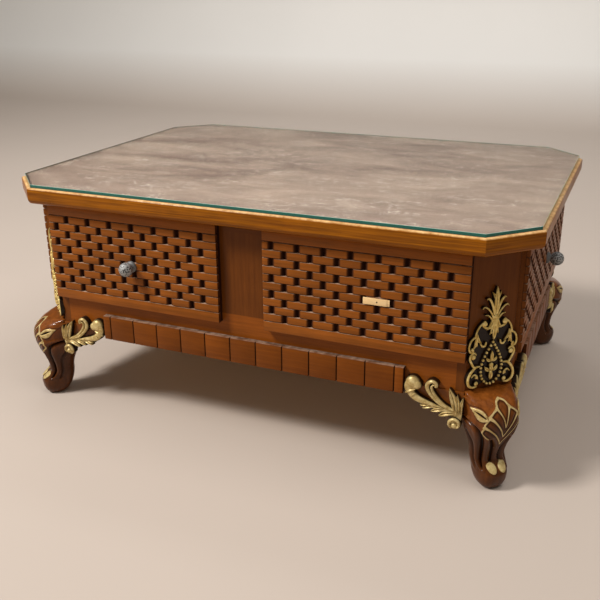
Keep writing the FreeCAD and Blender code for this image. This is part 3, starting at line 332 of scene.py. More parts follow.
def gilding(tree, shader, wood, share, gold=("#a98c52", "#dac48c"), sheen=0.3, rough=0.42, film=0.22):
    """Brushed-on gold paint over wood, thin and brown where share is low."""
    place = add_node(tree, "TexCoord", {}, "Object")
    worn = add_node(tree, "TexNoise", {"Vector": place, "Scale": 1 / (7 * MM), "Detail": 4,
                                       "Roughness": 0.55})
    bright = add_node(tree, "MapRange", {"Value": worn, "From Min": 0.32, "From Max": 0.68})
    paint = add_node(tree, "Mix", {0: bright, 6: ink(gold[0]), 7: ink(gold[1])}, **BLEND)
    thin = add_node(tree, "Math", {0: worn, 1: 0.3}, operation="MULTIPLY")
    cover = add_node(tree, "Math", {0: share, 1: thin}, operation="SUBTRACT")
    held = add_node(tree, "MapRange", {"Value": cover, "From Min": 0.1, "From Max": 0.6})
    feed(tree, shader, {
        "Base Color": add_node(tree, "Mix", {0: held, 6: wood, 7: paint}, **BLEND),
        "Metallic": add_node(tree, "Math", {0: held, 1: sheen}, operation="MULTIPLY"),
        "Roughness": add_node(tree, "MapRange", {"Value": held, "To Min": 0.3, "To Max": rough}),
        "Normal": add_node(tree, "Bump", {"Height": worn, "Strength": 0.12, "Distance": 0.4 * MM}),
        "Specular IOR Level": film})


def leg_material():
    """Gloss-varnished carved hardwood: paler towards the knee and darker towards the foot, nearly black
    in its grooves as painted shade, with gilded ridges and a few chips.
    """
    material, tree, shader = new_material("Varnished carved hardwood, gilded ridges")
    colour, _, _ = wood_colour(tree, "Z", "#7d4417", "#5e300c", 9, 0.9)
    place = add_node(tree, "TexCoord", {}, "Object")
    height = add_node(tree, "SeparateXYZ", {0: place}, "Z")
    # Paler towards the knee and darker towards the foot, set by height alone
    paler_towards_top = add_node(tree, "MapRange", {"Value": height, "From Min": 90 * MM, "From Max": 155 * MM,
                                         "To Min": 0.47, "To Max": 1.16})
    colour = add_node(tree, "Mix", {0: 1, 6: colour, 7: paler_towards_top}, **MULTIPLY)
    flecks = add_node(tree, "TexNoise", {"Vector": place, "Scale": 1 / (9 * MM), "Detail": 5,
                                         "Roughness": 0.75})
    chip = add_node(tree, "MapRange", {"Value": flecks, "From Min": 0.67, "From Max": 0.7, "To Max": 0.75})
    # The shade field is painted shade: near black in the grooves, in the leaf hollows and round the almond
    # leaf
    shade = add_node(tree, "Attribute", {}, "Fac", attribute_name="shade")
    for share, code in ((chip, "#c8a88c"), (shade, "#120502")):
        colour = add_node(tree, "Mix", {0: share, 6: colour, 7: ink(code)}, **BLEND)
    gilt = add_node(tree, "Attribute", {}, "Fac", attribute_name="gilt")
    gilding(tree, shader, colour, gilt, film=WOOD_SPECULAR)
    film = add_node(tree, "MapRange", {"Value": shade, "To Min": 0.3, "To Max": 0.04})
    feed(tree, shader, {"Coat Weight": film, "Coat Roughness": 0.1})
    return material


def set_at(spot, turn):
    """A place at a spot, turned about Z by degrees."""
    return Matrix.Translation(spot) @ Matrix.Rotation(math.radians(turn), 4, "Z")


def corner_frame(corner, x, y, cut, height=0):
    """Middle of a splayed corner of an octagon with half sides x and y: -Y looks outwards."""
    return set_at(((x - cut / 2) * (1 if "right" in corner else -1),
                   (y - cut / 2) * (1 if "back" in corner else -1), height), CORNERS[corner])


def add_piece(name, shape, material, place=Matrix(), body="carcase", replaced=(), sharp=35):
    """A mesh piece in its own frame, which rides on a body.

    shape holds points, faces and a dictionary of fields, one number for each point.
    """
    points, faces, fields = shape
    mesh = bpy.data.meshes.new(name)
    mesh.from_pydata([tuple(map(float, point)) for point in points], [], faces)
    for field, numbers in fields.items():
        mesh.attributes.new(field, "FLOAT", "POINT").data.foreach_set(
            "value", np.asarray(numbers, np.float32))
    shell = bmesh.new()
    shell.from_mesh(mesh)
    bmesh.ops.recalc_face_normals(shell, faces=shell.faces)
    shell.to_mesh(mesh)
    shell.free()
    mesh.materials.append(material)
    mesh.shade_smooth()
    mesh.set_sharp_from_angle(angle=math.radians(sharp))
    piece = bpy.data.objects.new(name, mesh)
    bpy.context.scene.collection.objects.link(piece)
    piece.matrix_world = place
    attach(piece, body)
    if replaced:
        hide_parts(*replaced)
    return piece


leg_points, leg_faces, leg_fields = leg_mesh()
leg_finish = leg_material()
for corner in CORNERS:
    here = corner_frame(corner, FACE_X, FACE_Y, CORNER_CUT)
    turned = leg_points @ np.array(here.to_3x3()).T
    add_piece("carved_leg_" + corner, (turned, leg_faces, leg_fields), leg_finish,
              Matrix.Translation(here.translation), replaced=["leg_" + corner], sharp=60)


# Carcase
# Splayed corner posts, rails let in between them and stiles in the middle of the long sides: hardwood
# boards, glued and stained red-brown under satin varnish.
SIDES = {"front": 0, "right": 90, "back": 180, "left": 270}
STAIN_LIGHT, STAIN_DARK = "#703c10", "#61320b"
# The rails get a lighter stain than the posts: painted light against the shade the woven panels cast on
# them
RAIL_LIGHT_WITH_PAINTED_LIGHT, RAIL_DARK_WITH_PAINTED_LIGHT = "#944f14", "#80430f"
stained = {axis: varnished("Stained satin-varnished hardwood, grain along " + axis, axis,
                           STAIN_LIGHT, STAIN_DARK) for axis in "XYZ"}


def dress(node, material):
    """Gives a solid of the frame its finish."""
    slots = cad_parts[node].data.materials
    slots.clear()
    slots.append(material)


for corner in CORNERS:
    dress("corner_post_" + corner, stained["Z"])
for side, turn in SIDES.items():
    dress("lower_rail_" + side, varnished("Stained satin-varnished rail, " + side,
                                          "Y" if turn in (90, 270) else "X", RAIL_LIGHT_WITH_PAINTED_LIGHT, RAIL_DARK_WITH_PAINTED_LIGHT))
dress("upper_rails", stained["X"])
dress("centre_stiles", stained["Z"])


# Runners, partition, underside and corner blocks
# Planed softwood that is never seen with the drawers shut: glued and pinned, left without stain.
def softwood(name, along, light="#dcb983", dark="#c39a62"):
    """Planed pine: pale, with amber growth lines and no film on it."""
    material, tree, shader = new_material(name)
    colour, pore, _ = wood_colour(tree, along, light, dark, 6)
    bump = add_node(tree, "Bump", {"Height": pore, "Strength": 0.3, "Distance": 0.3 * MM})
    feed(tree, shader, {"Base Color": colour, "Normal": bump, "Roughness": 0.62})
    return material


pine = {axis: softwood("Planed pine, grain along " + axis, axis) for axis in "XYZ"}
for node, axis in (("drawer_runners", "Y"), ("drawer_kickers", "Y"), ("centre_partition", "Y"),
                   ("bottom_board", "X"), ("leg_blocks", "Z")):
    dress(node, pine[axis])


# Leg bolts and knob screws
# Zinc-plated steel, turned up tight from inside the carcase.
def mottled(name, dark, light, patch_mm, detail, finish):
    """A material whose colour drifts between two tones in patches of a size; finish sets its shader."""
    material, tree, shader = new_material(name)
    place = add_node(tree, "TexCoord", {}, "Object")
    patch = add_node(tree, "TexNoise", {"Vector": place, "Scale": 1 / (patch_mm * MM), "Detail": detail})
    tone = add_node(tree, "Mix", {0: patch, 6: ink(dark), 7: ink(light)}, **BLEND)
    feed(tree, shader, {"Base Color": tone, **finish})
    return material


# Zinc plate on steel: a pale grey metal with a faint cloudy spangle
steel = mottled("Zinc-plated steel", "#8d9196", "#c9ccd0", 3, 4, {"Metallic": 1, "Roughness": 0.36})
for node in ("leg_bolts", "front_drawer_knob_screw", "end_drawer_knob_screw"):
    dress(node, steel)


# Woven fronts
# Rows of staggered bricks, each rolled over at its ends as if it passed under its neighbours, with gaps
# between them, darkened by grime and painted shade, and a plain band above and below. Stained hardwood
# strips on a backing board.
PANEL_ROWS = 10
PANEL_BAND = 19 * MM
PANEL_LEAD = 0.35
BRICK_GAP = 3.2 * MM
BRICK_DEPTH = 6 * MM
BRICK_ARRIS = 0.9 * MM
ROW_SEAM = 1.3 * MM
# Set-back and depth of a rolled brick end, from its tip to its face
BRICK_END = [(0, 6), (0.3, 4.4), (1.1, 2.9), (2.3, 1.55), (3.8, 0.6), (5, 0.15), (6, 0)]
# Depth at which grime and painted shade take over from the stain, stretch of the rolled ends, rounding of
# the long edges, and how dark painted shade may make the outer edges of the panel
LONG_WEAVE = {"grime_and_shade": 0.5 * MM, "roll": 1, "arris": BRICK_ARRIS, "edge": 1}
END_WEAVE = {"grime_and_shade": 0.35 * MM, "roll": 1.9, "arris": 1.7 * MM, "edge": 0.45}
BACKING_TOP = 14 * MM
TONE_SPREAD = 0.88, 1.12
# How dark grime and painted shade make the upper edge of a brick, its other sides and the board behind
LEDGE_GRIME_AND_SHADE, SIDE_GRIME_AND_SHADE, BACKING_GRIME_AND_SHADE = 0.35, 0.97, 0.95
draw = np.random.default_rng(7)


def block(x0, x1, z0, z1, back, rolled=(0, 0), arris=BRICK_ARRIS):
    """A block from the face y = 0 back to a depth, its face edges rounded, its ends plain or rolled.

    rolled holds the stretch of the roll at each end, 0 for a plain end.
    """
    section = []
    for at, way, roll in ((x0, 1, rolled[0]), (x1, -1, rolled[1])):
        plain = [(0, arris), (0.3 * arris, 0.3 * arris), (arris, 0)]
        profile = [(set_back * roll * MM, deep * MM) for set_back, deep in BRICK_END] if roll else plain
        ends = [(at + way * set_back, min(deep, back - 1.5 * arris)) for set_back, deep in profile]
        section += ends[::way]
    points = []
    for x, fall in section:
        shoulder = arris * 0.3
        points += [(x, back, z0), (x, fall + arris, z0), (x, fall + shoulder, z0 + shoulder),
                   (x, fall, z0 + arris), (x, fall, z1 - arris), (x, fall + shoulder, z1 - shoulder),
                   (x, fall + arris, z1), (x, back, z1)]
    return points, ring_faces(len(points), len(points) // len(section))


def joined(shapes):
    """Several shapes with fields as one."""
    points, faces = [], []
    fields = {}
    for more_points, more_faces, more_fields in shapes:
        faces += [tuple(len(points) + index for index in face) for face in more_faces]
        points += [tuple(point) for point in more_points]
        for field, numbers in more_fields.items():
            fields.setdefault(field, []).extend(numbers)
    return points, faces, fields


def stained_block(corners, back, tone=1.0, grime_and_shade=LONG_WEAVE["grime_and_shade"], **form):
    """A block with one stain, darker the deeper it lies: grime and painted shade."""
    points, faces = block(*corners, back, **form)
    top = corners[3]
    deep = [(LEDGE_GRIME_AND_SHADE if z >= top else SIDE_GRIME_AND_SHADE) * (1 - math.exp(-y / grime_and_shade)) for x, y, z in points]
    return points, faces, {"tone": [tone] * len(points), "recess": deep}


def backing(width, height, thick, depth, recess):
    """The board behind bricks or blocks of a depth, darkened by grime and painted shade."""
    points, faces = block(0, width, 0, height, thick - depth)
    points = [(x, y + depth, z) for x, y, z in points]
    return points, faces, {"tone": [1] * len(points), "recess": [recess] * len(points)}


def woven_front(width, height, columns, long_start, grime_and_shade, roll, arris, edge):
    """Lower left corner of the face at the origin, the face towards -Y."""
    shapes = [backing(width, height, BACKING_TOP, BRICK_DEPTH, BACKING_GRIME_AND_SHADE),
              stained_block((0, width, 0, PANEL_BAND - ROW_SEAM / 2), BRICK_DEPTH),
              stained_block((0, width, height - PANEL_BAND + ROW_SEAM / 2, height), BRICK_DEPTH)]
    row_height = (height - 2 * PANEL_BAND) / PANEL_ROWS
    pitch = width / (columns + 0.5)
    for row in range(PANEL_ROWS):
        first = pitch * (PANEL_LEAD if (row % 2 == 0) == long_start else PANEL_LEAD + 0.5)
        gaps = [first + pitch * index for index in range(columns)]
        starts = [0] + [gap + BRICK_GAP / 2 for gap in gaps]
        stops = [gap - BRICK_GAP / 2 for gap in gaps] + [width]
        foot = PANEL_BAND + row * row_height
        for start, stop in zip(starts, stops):
            corners = (start, stop, foot + ROW_SEAM / 2, foot + row_height - ROW_SEAM / 2)
            rolled = (roll * (start > 0), roll * (stop < width))
            shapes.append(stained_block(corners, BRICK_DEPTH, draw.uniform(*TONE_SPREAD), grime_and_shade,
                                        rolled=rolled, arris=arris))
    points, faces, fields = joined(shapes)
    fields["recess"] = [min(deep, edge) if spot[0] in (0, width) else deep
                        for spot, deep in zip(points, fields["recess"])]
    return points, faces, fields


def side_frame(node, turn):
    """Lower left corner of a node's outer face, seen from outside, for a side turned about Z."""
    low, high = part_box(node)
    x = low.x if turn in (0, 270) else high.x
    y = low.y if turn in (0, 90) else high.y
    width = high.x - low.x if turn in (0, 180) else high.y - low.y
    return set_at((x, y, low.z), turn), width, high.z - low.z


brick_wood = varnished("Stained satin-varnished hardwood bricks", "X", "#945118", "#7c4410",
                       ledge_dust_and_highlight=0.75)
for node, turn, columns, long_start, body in (
        ("weave_panel_front_right", 0, 7, False, "carcase"),
        ("weave_panel_back_right", 180, 7, True, "carcase"),
        ("weave_panel_back_left", 180, 7, False, "carcase"),
        ("weave_panel_left", 270, 11, False, "carcase"),
        ("front_drawer_front", 0, 7, True, "front_drawer"),
        ("end_drawer_front", 90, 11, False, "end_drawer")):
    place, width, height = side_frame(node, turn)
    weave = LONG_WEAVE if turn in (0, 180) else END_WEAVE
    add_piece("woven_" + node, woven_front(width, height, columns, long_start, **weave), brick_wood,
              place, body, [node])


# Bare brick
# One brick of the front right panel is a newer slip of raw pine, held by a single pin.
PIN_RADIUS, PIN_SIDES = 1.4 * MM, 16
SLIP_LAP = 5.5 * MM
low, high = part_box("bare_brick")
raw_pine = softwood("Raw pine slip", "X", "#ffdca4", "#ecc283")
points, faces = block(-SLIP_LAP, high.x - low.x + SLIP_LAP / 2, 0, high.z - low.z, high.y - low.y,
                      rolled=(0, 1), arris=0.5 * MM)
add_piece("raw_pine_slip", (points, faces, {}), raw_pine, Matrix.Translation(low),
          replaced=["bare_brick"])


def pin_head():
    """A round pin head, slightly domed."""
    turns = np.linspace(0, 2 * math.pi, PIN_SIDES, endpoint=False)
    points = [(PIN_RADIUS * share * math.cos(turn), depth, PIN_RADIUS * share * math.sin(turn))
              for share, depth in ((1, 0), (1, -0.15 * MM), (0.6, -0.3 * MM)) for turn in turns]
    faces = ring_faces(len(points), PIN_SIDES)
    rim = faces.pop(1)
    faces += [(start, stop, len(points)) for start, stop in zip(rim, rim[1:] + rim[:1])]
    return points + [(0, -0.35 * MM, 0)], faces, {}


# Oxidised iron wire: dull and nearly black
iron = mottled("Oxidised iron", "#241d19", "#4a3424", 0.8, 2, {"Metallic": 0.6, "Roughness": 0.6})
add_piece("brick_pin", pin_head(), iron,
          Matrix.Translation(((low.x + high.x) / 2, low.y + 0.1 * MM, (low.z + high.z) / 2)))


# Apron strips
# Square blocks with rounded face edges, set close together on a thin strip under each lower rail.
STRIP_BLOCKS = {"front": 11, "right": 6, "back": 11, "left": 6}
STRIP_STUB = 16 * MM
STRIP_DEPTH = 5 * MM
BLOCK_GAP = 1.4 * MM
BLOCK_ARRIS = 1.1 * MM
# How dark grime and painted shade make the strip behind the blocks
STRIP_GRIME_AND_SHADE = 0.9
block_wood = varnished("Stained satin-varnished hardwood blocks", "X", "#7d410a", "#6c3607", ledge_dust_and_highlight=0.4)
for side, turn in SIDES.items():
    node = "apron_strip_" + side
    place, width, height = side_frame(node, turn)
    low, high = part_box(node)
    pitch = (width - 2 * STRIP_STUB) / STRIP_BLOCKS[side]
    seams = [0] + [STRIP_STUB + pitch * index for index in range(STRIP_BLOCKS[side] + 1)] + [width]
    shapes = [backing(width, height, min(high.x - low.x, high.y - low.y), STRIP_DEPTH, STRIP_GRIME_AND_SHADE)]
    for start, stop in zip(seams, seams[1:]):
        left = start + (BLOCK_GAP / 2 if start > 0 else 0)
        right = stop - (BLOCK_GAP / 2 if stop < width else 0)
        shapes.append(stained_block((left, right, 0, height), STRIP_DEPTH, draw.uniform(*TONE_SPREAD),
                                    arris=BLOCK_ARRIS))
    add_piece("block_" + node, joined(shapes), block_wood, place, replaced=[node])


# Knee wings
# Acanthus brackets carved from one board each, glued to the rails on both sides of a leg: a long stem
# that curls into a fat volute, a second scroll, three upright leaves and a rosette. Gold paint.

# Sections of a rib and of a leaf: share of its half width, share of its height, and gilding
ROUND_SECTION = [(-1, 0, 0), (-1, 0.6, 0), (-0.9, 0.78, 0.4), (-0.6, 0.93, 1), (0, 1, 1),
                 (0.6, 0.93, 1), (0.9, 0.78, 0.4), (1, 0.6, 0), (1, 0, 0)]
VEINED_SECTION = [(-1, 0, 0), (-1, 0.6, 0), (-0.88, 0.8, 0.4), (-0.55, 0.97, 1), (-0.2, 0.9, 0.9),
                  (0, 0.78, 0.35), (0.2, 0.9, 0.9), (0.55, 0.97, 1), (0.88, 0.8, 0.4),
                  (1, 0.6, 0), (1, 0, 0)]
DOME_SIDES, DOME_RINGS = 40, 10


def carved_strip(line, section=ROUND_SECTION, steps=6):
    """A carved rib in the XZ plane, raised towards -Y, with a flat back.

    line holds (x, z, half width, height) knots in millimetres.
    """
    samples = curve_through(line, steps)
    samples[:, 2:] = np.maximum(samples[:, 2:], 0.25)
    ahead = np.gradient(samples[:, :2], axis=0)
    ahead /= np.linalg.norm(ahead, axis=1)[:, None]
    points, raised = [], []
    for (x, z, half, tall), (dx, dz) in zip(samples, ahead):
        for across, up, lift in section:
            aside = across * half
            points.append(((x - dz * aside) * MM, -up * tall * MM, (z + dx * aside) * MM))
            raised.append(lift)
    return points, ring_faces(len(points), len(section)), {"gilt": raised}


def leaf(root, tip, half, tall, bow=0.0):
    """A pointed leaf with a sunk midrib; bow bends it to its left."""
    run = np.subtract(tip, root)
    side = np.array((-run[1], run[0])) * bow
    spots = [np.add(root, run * share) + side * math.sin(share * math.pi)
             for share in (0, 0.3, 0.62, 0.88, 1)]
    form = zip((0.55, 0.95, 1, 0.5, 0.05), (0.8, 1, 1, 0.9, 0.7))
    return carved_strip([(*spot, half * wide, tall * high) for spot, (wide, high) in zip(spots, form)],
                        VEINED_SECTION)


def dome(x, z, radius, tall, wall=0.45):
    """A round boss: an upright wall, a share of its height, and a rounded top that is brightest inside."""
    spins = np.linspace(0, 2 * math.pi, DOME_SIDES, endpoint=False)
    levels = [(1, 0, 0)]
    for share in 1 - np.arange(DOME_RINGS) / DOME_RINGS:
        up = wall + (1 - wall) * math.sqrt(1 - share ** 2)
        levels.append((share, up, min(1, 0.25 + 3 * (1 - share))))
    points = [((x + radius * share * math.cos(spin)) * MM, -up * tall * MM,
               (z + radius * share * math.sin(spin)) * MM) for share, up, _ in levels for spin in spins]
    return (points, ring_faces(len(points), len(spins)),
            {"gilt": [lift for *_, lift in levels for spin in spins]})


WING_GROUND = [(0, 168), (0, 128), (16, 131), (34, 135), (52, 139), (66, 143), (79, 149), (86, 157),
               (89, 168)]
GROUND_THICK = 2.5


def ground_plate(rim, gilt):
    """A thin plate behind the carving, from its outline: dark at a gilt of 0, standing as painted shade in
    openings, bare wood at -1.
    """
    points = [(x * MM, y * MM, z * MM) for y in (0, -GROUND_THICK) for x, z in rim]
    return points, ring_faces(len(points), len(rim)), {"gilt": [gilt] * len(points)}


def wing_shape():
    """A wing that grows towards +X from the corner of the carcase, heights from the floor."""
    return joined([
        ground_plate(WING_GROUND, -1.0),
        carved_strip([(0, 128, 8, 9), (16, 131, 8.5, 10.5), (34, 134, 6.5, 10.5), (50, 137, 4.5, 10.5),
                      (62, 140, 3, 10)]),
        carved_strip([(31, 137.5, 0.8, 11), (42, 139, 2.4, 12.5), (53, 141.2, 4, 13), (67, 144, 6, 13.5),
                      (79, 149, 7.2, 14), (87, 157, 7.6, 14.5), (92, 166, 7, 15),
                      (91.5, 175, 6, 15.5)], steps=8),
        dome(84.5, 174.5, 13, 17),
        dome(77.5, 172.5, 8.6, 17, 0.6),
        carved_strip([(96, 155, 1.2, 13.6), (88, 160, 3.6, 16.4), (79, 164.4, 1.2, 14)]),
        carved_strip([(87, 149, 0.6, 13.6), (82.5, 153.5, 1.6, 15.6), (78.5, 157.5, 0.6, 13.6)]),
        carved_strip([(20, 137, 2.6, 12), (36, 143.5, 3.2, 13), (50, 155, 3.2, 13.5), (58.5, 167, 4, 14),
                      (59, 177, 4, 14.5), (52, 183.4, 3.6, 15), (44.8, 180, 3.6, 15),
                      (44.5, 174, 3.2, 14.5)], steps=8),
        carved_strip([(14, 136, 2.8, 12), (29, 142.6, 3.2, 12.8), (41, 152.5, 3.2, 13),
                      (49, 163, 3, 13.2), (52.2, 171.5, 2.6, 13.2), (50, 176.6, 2, 13.6),
                      (46.5, 177.4, 1.2, 13.6)], steps=8),
        leaf((10, 130), (23, 174), 6.6, 13.5, 0.06),
        leaf((6.5, 130), (9, 165.5), 4.4, 15, 0.02),
        leaf((0.5, 132), (-1.2, 162), 3.4, 14.5, -0.05),
        leaf((55, 138.5), (71, 134.8), 3.2, 12.5, 0.08),
        leaf((48, 136), (67, 129.8), 3.4, 12, 0.08),
        leaf((29, 134), (52, 126.8), 4.4, 13, 0.08),
        leaf((13, 131), (38.5, 121.2), 5.2, 13.5, 0.08),
        carved_strip([(4, 118, 4, 9), (5, 128, 6, 10), (8, 136, 5, 10)]),
        dome(10.5, 112.5, 11.3, 12, 0.7),
        carved_strip([(15, 103.6, 1.6, 13), (19, 108.5, 2.8, 14.5), (18.6, 116, 3.4, 15.5),
                      (12, 121, 3.6, 16), (4.6, 118, 3.4, 15.5), (2.6, 111, 2.8, 15),
                      (6, 106, 2, 14.5)], steps=8),
        dome(10.8, 109.4, 6, 16, 0.55),
    ])


def gilded_material(name, **paint):
    """Carved wood in antique gold paint: bright on the rounds, nearly black where the gilt field is low,
    which is dark paint on the sides and painted shade in the crevices, and bare stained wood where the
    gilt field is below 0.
    """
    material, tree, shader = new_material(name)
    gilt = add_node(tree, "Attribute", {}, "Fac", attribute_name="gilt")
    place = add_node(tree, "TexCoord", {}, "Object")
    grime_and_shade = add_node(tree, "TexNoise", {"Vector": place, "Scale": 1 / (9 * MM), "Detail": 4})
    # Nearly black where gilt is low: dark paint on the sides, painted shade in the crevices
    brown = add_node(tree, "Mix", {0: grime_and_shade, 6: ink("#0e0704"), 7: ink("#2c1a0d")}, **BLEND)
    bare = add_node(tree, "MapRange", {"Value": gilt, "From Min": 0, "From Max": -1})
    wood = add_node(tree, "Mix", {0: bare, 6: brown, 7: ink("#7a4212")}, **BLEND)
    gilding(tree, shader, wood, gilt, **paint)
    return material


antique_gold = gilded_material("Antique gold paint on carved wood")
wing = wing_shape()
mirrored_wing = ([(-x, y, z) for x, y, z in wing[0]], wing[1], wing[2])
EDGE_X, EDGE_Y = FACE_X - CORNER_CUT, FACE_Y - CORNER_CUT
for corner in CORNERS:
    side_x = 1 if "right" in corner else -1
    side_y = 1 if "back" in corner else -1
    for side, turn, spot, hand in (
            ("long", 0 if side_y < 0 else 180, (side_x * EDGE_X, side_y * FACE_Y, 0), -side_x * side_y),
            ("end", 90 if side_x > 0 else 270, (side_x * FACE_X, side_y * EDGE_Y, 0), side_x * side_y)):
        add_piece("gilded_wing_%s_%s" % (corner, side), mirrored_wing if hand > 0 else wing,
                  antique_gold, set_at(spot, turn),
                  replaced=["knee_wings_" + corner], sharp=50)


# Pierced corner ornaments
# Cast or sawn openwork on the splayed posts: a palmette over a calyx, tendrils, a string of beads in the
# form of a drop round a bud, and scrolls at the foot. Gold on the rounds, nearly black on the dark-painted
# sides, and a dark plate and cord fill the openings of the lower part as painted shade.
BEADS, CORD_STEPS = 26, 60


def drop_line(count):
    """Points round the drop of beads."""
    outline = curve_through([(0, 254), (7, 243), (15, 228), (20, 210), (17, 192), (8, 181.5), (0, 179),
                             (-8, 181.5), (-17, 192), (-20, 210), (-15, 228), (-7, 243), (0, 254)], 12)
    steps = np.linalg.norm(np.diff(outline, axis=0), axis=1)
    along = np.concatenate([[0], np.cumsum(steps)])
    marks = np.linspace(0, along[-1], count, endpoint=False)
    return np.column_stack([np.interp(marks, along, side) for side in outline.T])


GROUND_OUTLINE = [(0, 292), (18, 291), (23, 286), (30, 281), (36, 270), (43, 263), (46, 252), (43, 241),
                  (43, 233), (39, 221), (35, 214), (41, 204), (45, 193), (42, 182), (35, 176), (23, 177),
                  (12, 181), (0, 177)]


def applique_shape():
    """Middle on x = 0, heights from the floor, outwards -Y."""
    half = [
        leaf((1, 320), (8.5, 341), 2.6, 8, 0.1),
        carved_strip([(2, 303, 2.4, 8), (5.5, 316, 2.7, 8.5), (10, 325.5, 2.3, 8), (15, 331, 1.6, 8),
                      (18.5, 329.5, 0.7, 7.5)]),
        carved_strip([(3, 296, 2.2, 8), (8, 306, 1.8, 8), (15, 314, 1.6, 7.5), (21.5, 317, 1.3, 7.5),
                      (25, 314, 0.6, 7)]),
        carved_strip([(4, 292, 1.8, 8), (12, 301, 1.4, 7.5), (19, 303, 0.5, 7)]),
        leaf((2, 299), (8, 268), 4.6, 9, -0.1),
        leaf((4, 299), (14.5, 277), 4, 8.5, -0.16),
        carved_strip([(3, 280, 2, 8), (11, 280, 2, 8.5), (18, 282, 2.2, 8.5), (22.5, 287, 1.9, 8.5),
                      (19.5, 292.5, 1.6, 8.5), (15.5, 289, 1.3, 8.5)]),
        dome(18.5, 288, 4.4, 9.5, 0.6),
        carved_strip([(21, 291, 1.6, 8), (28, 285, 1.8, 8), (33, 276, 1.8, 8), (35, 266, 1.8, 8)]),
        leaf((33, 268), (37, 246), 2.8, 7.5, -0.1),
        leaf((32, 270), (30, 249), 2.6, 7.5, 0.05),
        leaf((31, 272), (21, 254), 3, 7.5, 0.14),
        carved_strip([(35, 268, 1.6, 8), (42, 262, 1.9, 8), (45.5, 252, 2, 8), (43, 243, 2, 8),
                      (37.5, 242, 1.8, 8), (37, 247, 1.4, 8)]),
        dome(38.6, 246, 3, 8.5, 0.6),
        carved_strip([(24, 254, 1.4, 7.5), (20, 249, 2, 8), (15, 250, 2, 8), (13.5, 256, 1.5, 7.5)]),
        carved_strip([(31, 236, 1.2, 8), (34, 239.5, 1.8, 8.5), (40, 238, 2, 8.5), (42.5, 231, 2.2, 8.5),
                      (38, 221, 2.2, 8.5), (33, 213, 2.2, 8.5)]),
        dome(36, 232.5, 4.6, 9.5, 0.6),
        carved_strip([(22, 214, 1.2, 7.5), (31, 213, 2.4, 8.5), (39, 205, 2.8, 9), (43.5, 194, 2.8, 9),
                      (41.5, 183, 2.6, 9), (34, 177.5, 2.2, 8.5), (26, 178.5, 1.8, 8)]),
        carved_strip([(37, 196, 1, 7.5), (32, 200, 1.8, 8), (26.5, 197, 1.8, 8), (25, 192, 1.2, 8)]),
        dome(27, 183.5, 4, 9, 0.6),
        dome(27.5, 194.5, 2.6, 8.5, 0.6),
        leaf((1.5, 220), (10, 226), 3, 8, -0.1),
        leaf((1.5, 203), (12, 211), 3.4, 8, -0.14),
    ]
    shapes = list(half)
    for points, faces, fields in half:
        shapes.append(([(-x, y, z) for x, y, z in points], faces, fields))
    shapes += [leaf((0, 300), (0, 350), 5, 9.5), leaf((0, 296), (0, 258), 5.2, 10),
               dome(0, 299, 4, 10, 0.6), leaf((0, 219), (0, 238), 3.6, 8.5), dome(0, 213, 4.2, 9, 0.6),
               leaf((0, 202), (0, 214), 4, 8.5), dome(0, 199, 3.2, 9, 0.6),
               leaf((0, 203), (0, 186), 4.4, 9)]
    shapes += [dome(x, z, 2.5, 9, 0.55) for x, z in drop_line(BEADS)]
    # The cord under the beads and the plate behind the lower part are ungilded and show nearly black:
    # painted shade
    cord = [(x, z, 3, 6) for x, z in drop_line(CORD_STEPS)]
    points, faces, _ = carved_strip(cord + cord[:1], steps=1)
    outline = GROUND_OUTLINE + [(-x, z) for x, z in GROUND_OUTLINE[-2:0:-1]]
    return joined(shapes + [(points, faces, {"gilt": [0.0] * len(points)}), ground_plate(outline, 0.0)])


ornament = applique_shape()
cast_gold = gilded_material("Antique gold paint on openwork", gold=("#c4a04c", "#f8df96"), sheen=0.45,
                            rough=0.37)
for corner in CORNERS:
    add_piece("gilded_ornament_" + corner, ornament, cast_gold,
              corner_frame(corner, FACE_X, FACE_Y, CORNER_CUT),
              replaced=["corner_applique_" + corner], sharp=50)


# Edge moulding
# Softwood lipping round the top, mitred at all eight corners: a rounded upper edge, a flat face and a
# hollow below. Comb-grained in golden amber under gloss varnish, pale along its upper edge from rubbed
# wear and a painted highlight.
MITRE = math.tan(math.radians(22.5))
low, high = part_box("edge_moulding_front")
MOULD_FOOT, MOULD_HEIGHT = low.z, high.z - low.z
MOULD_WIDTH = high.y - low.y
MOULD_ROUND = 4 * MM
HOLLOW_HEIGHT, HOLLOW_DEPTH = 11 * MM, 9 * MM
TOP_X, TOP_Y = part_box("edge_moulding_right")[1].x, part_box("edge_moulding_back")[1].y
TOP_CUT = TOP_X - high.x
PAINT_EDGE = TOP_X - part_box("glass_top")[1].x + 1.5 * MM
# Veins of the board: length and width of their swirls in mm, half width and strength of the line,
# and a shift that sets each layer off from the others
VEINS = ((125, 70, 0.009, 0.6, 3.1), (53, 29, 0.017, 0.75, 7.7), (24, 13, 0.028, 0.65, 5.3))


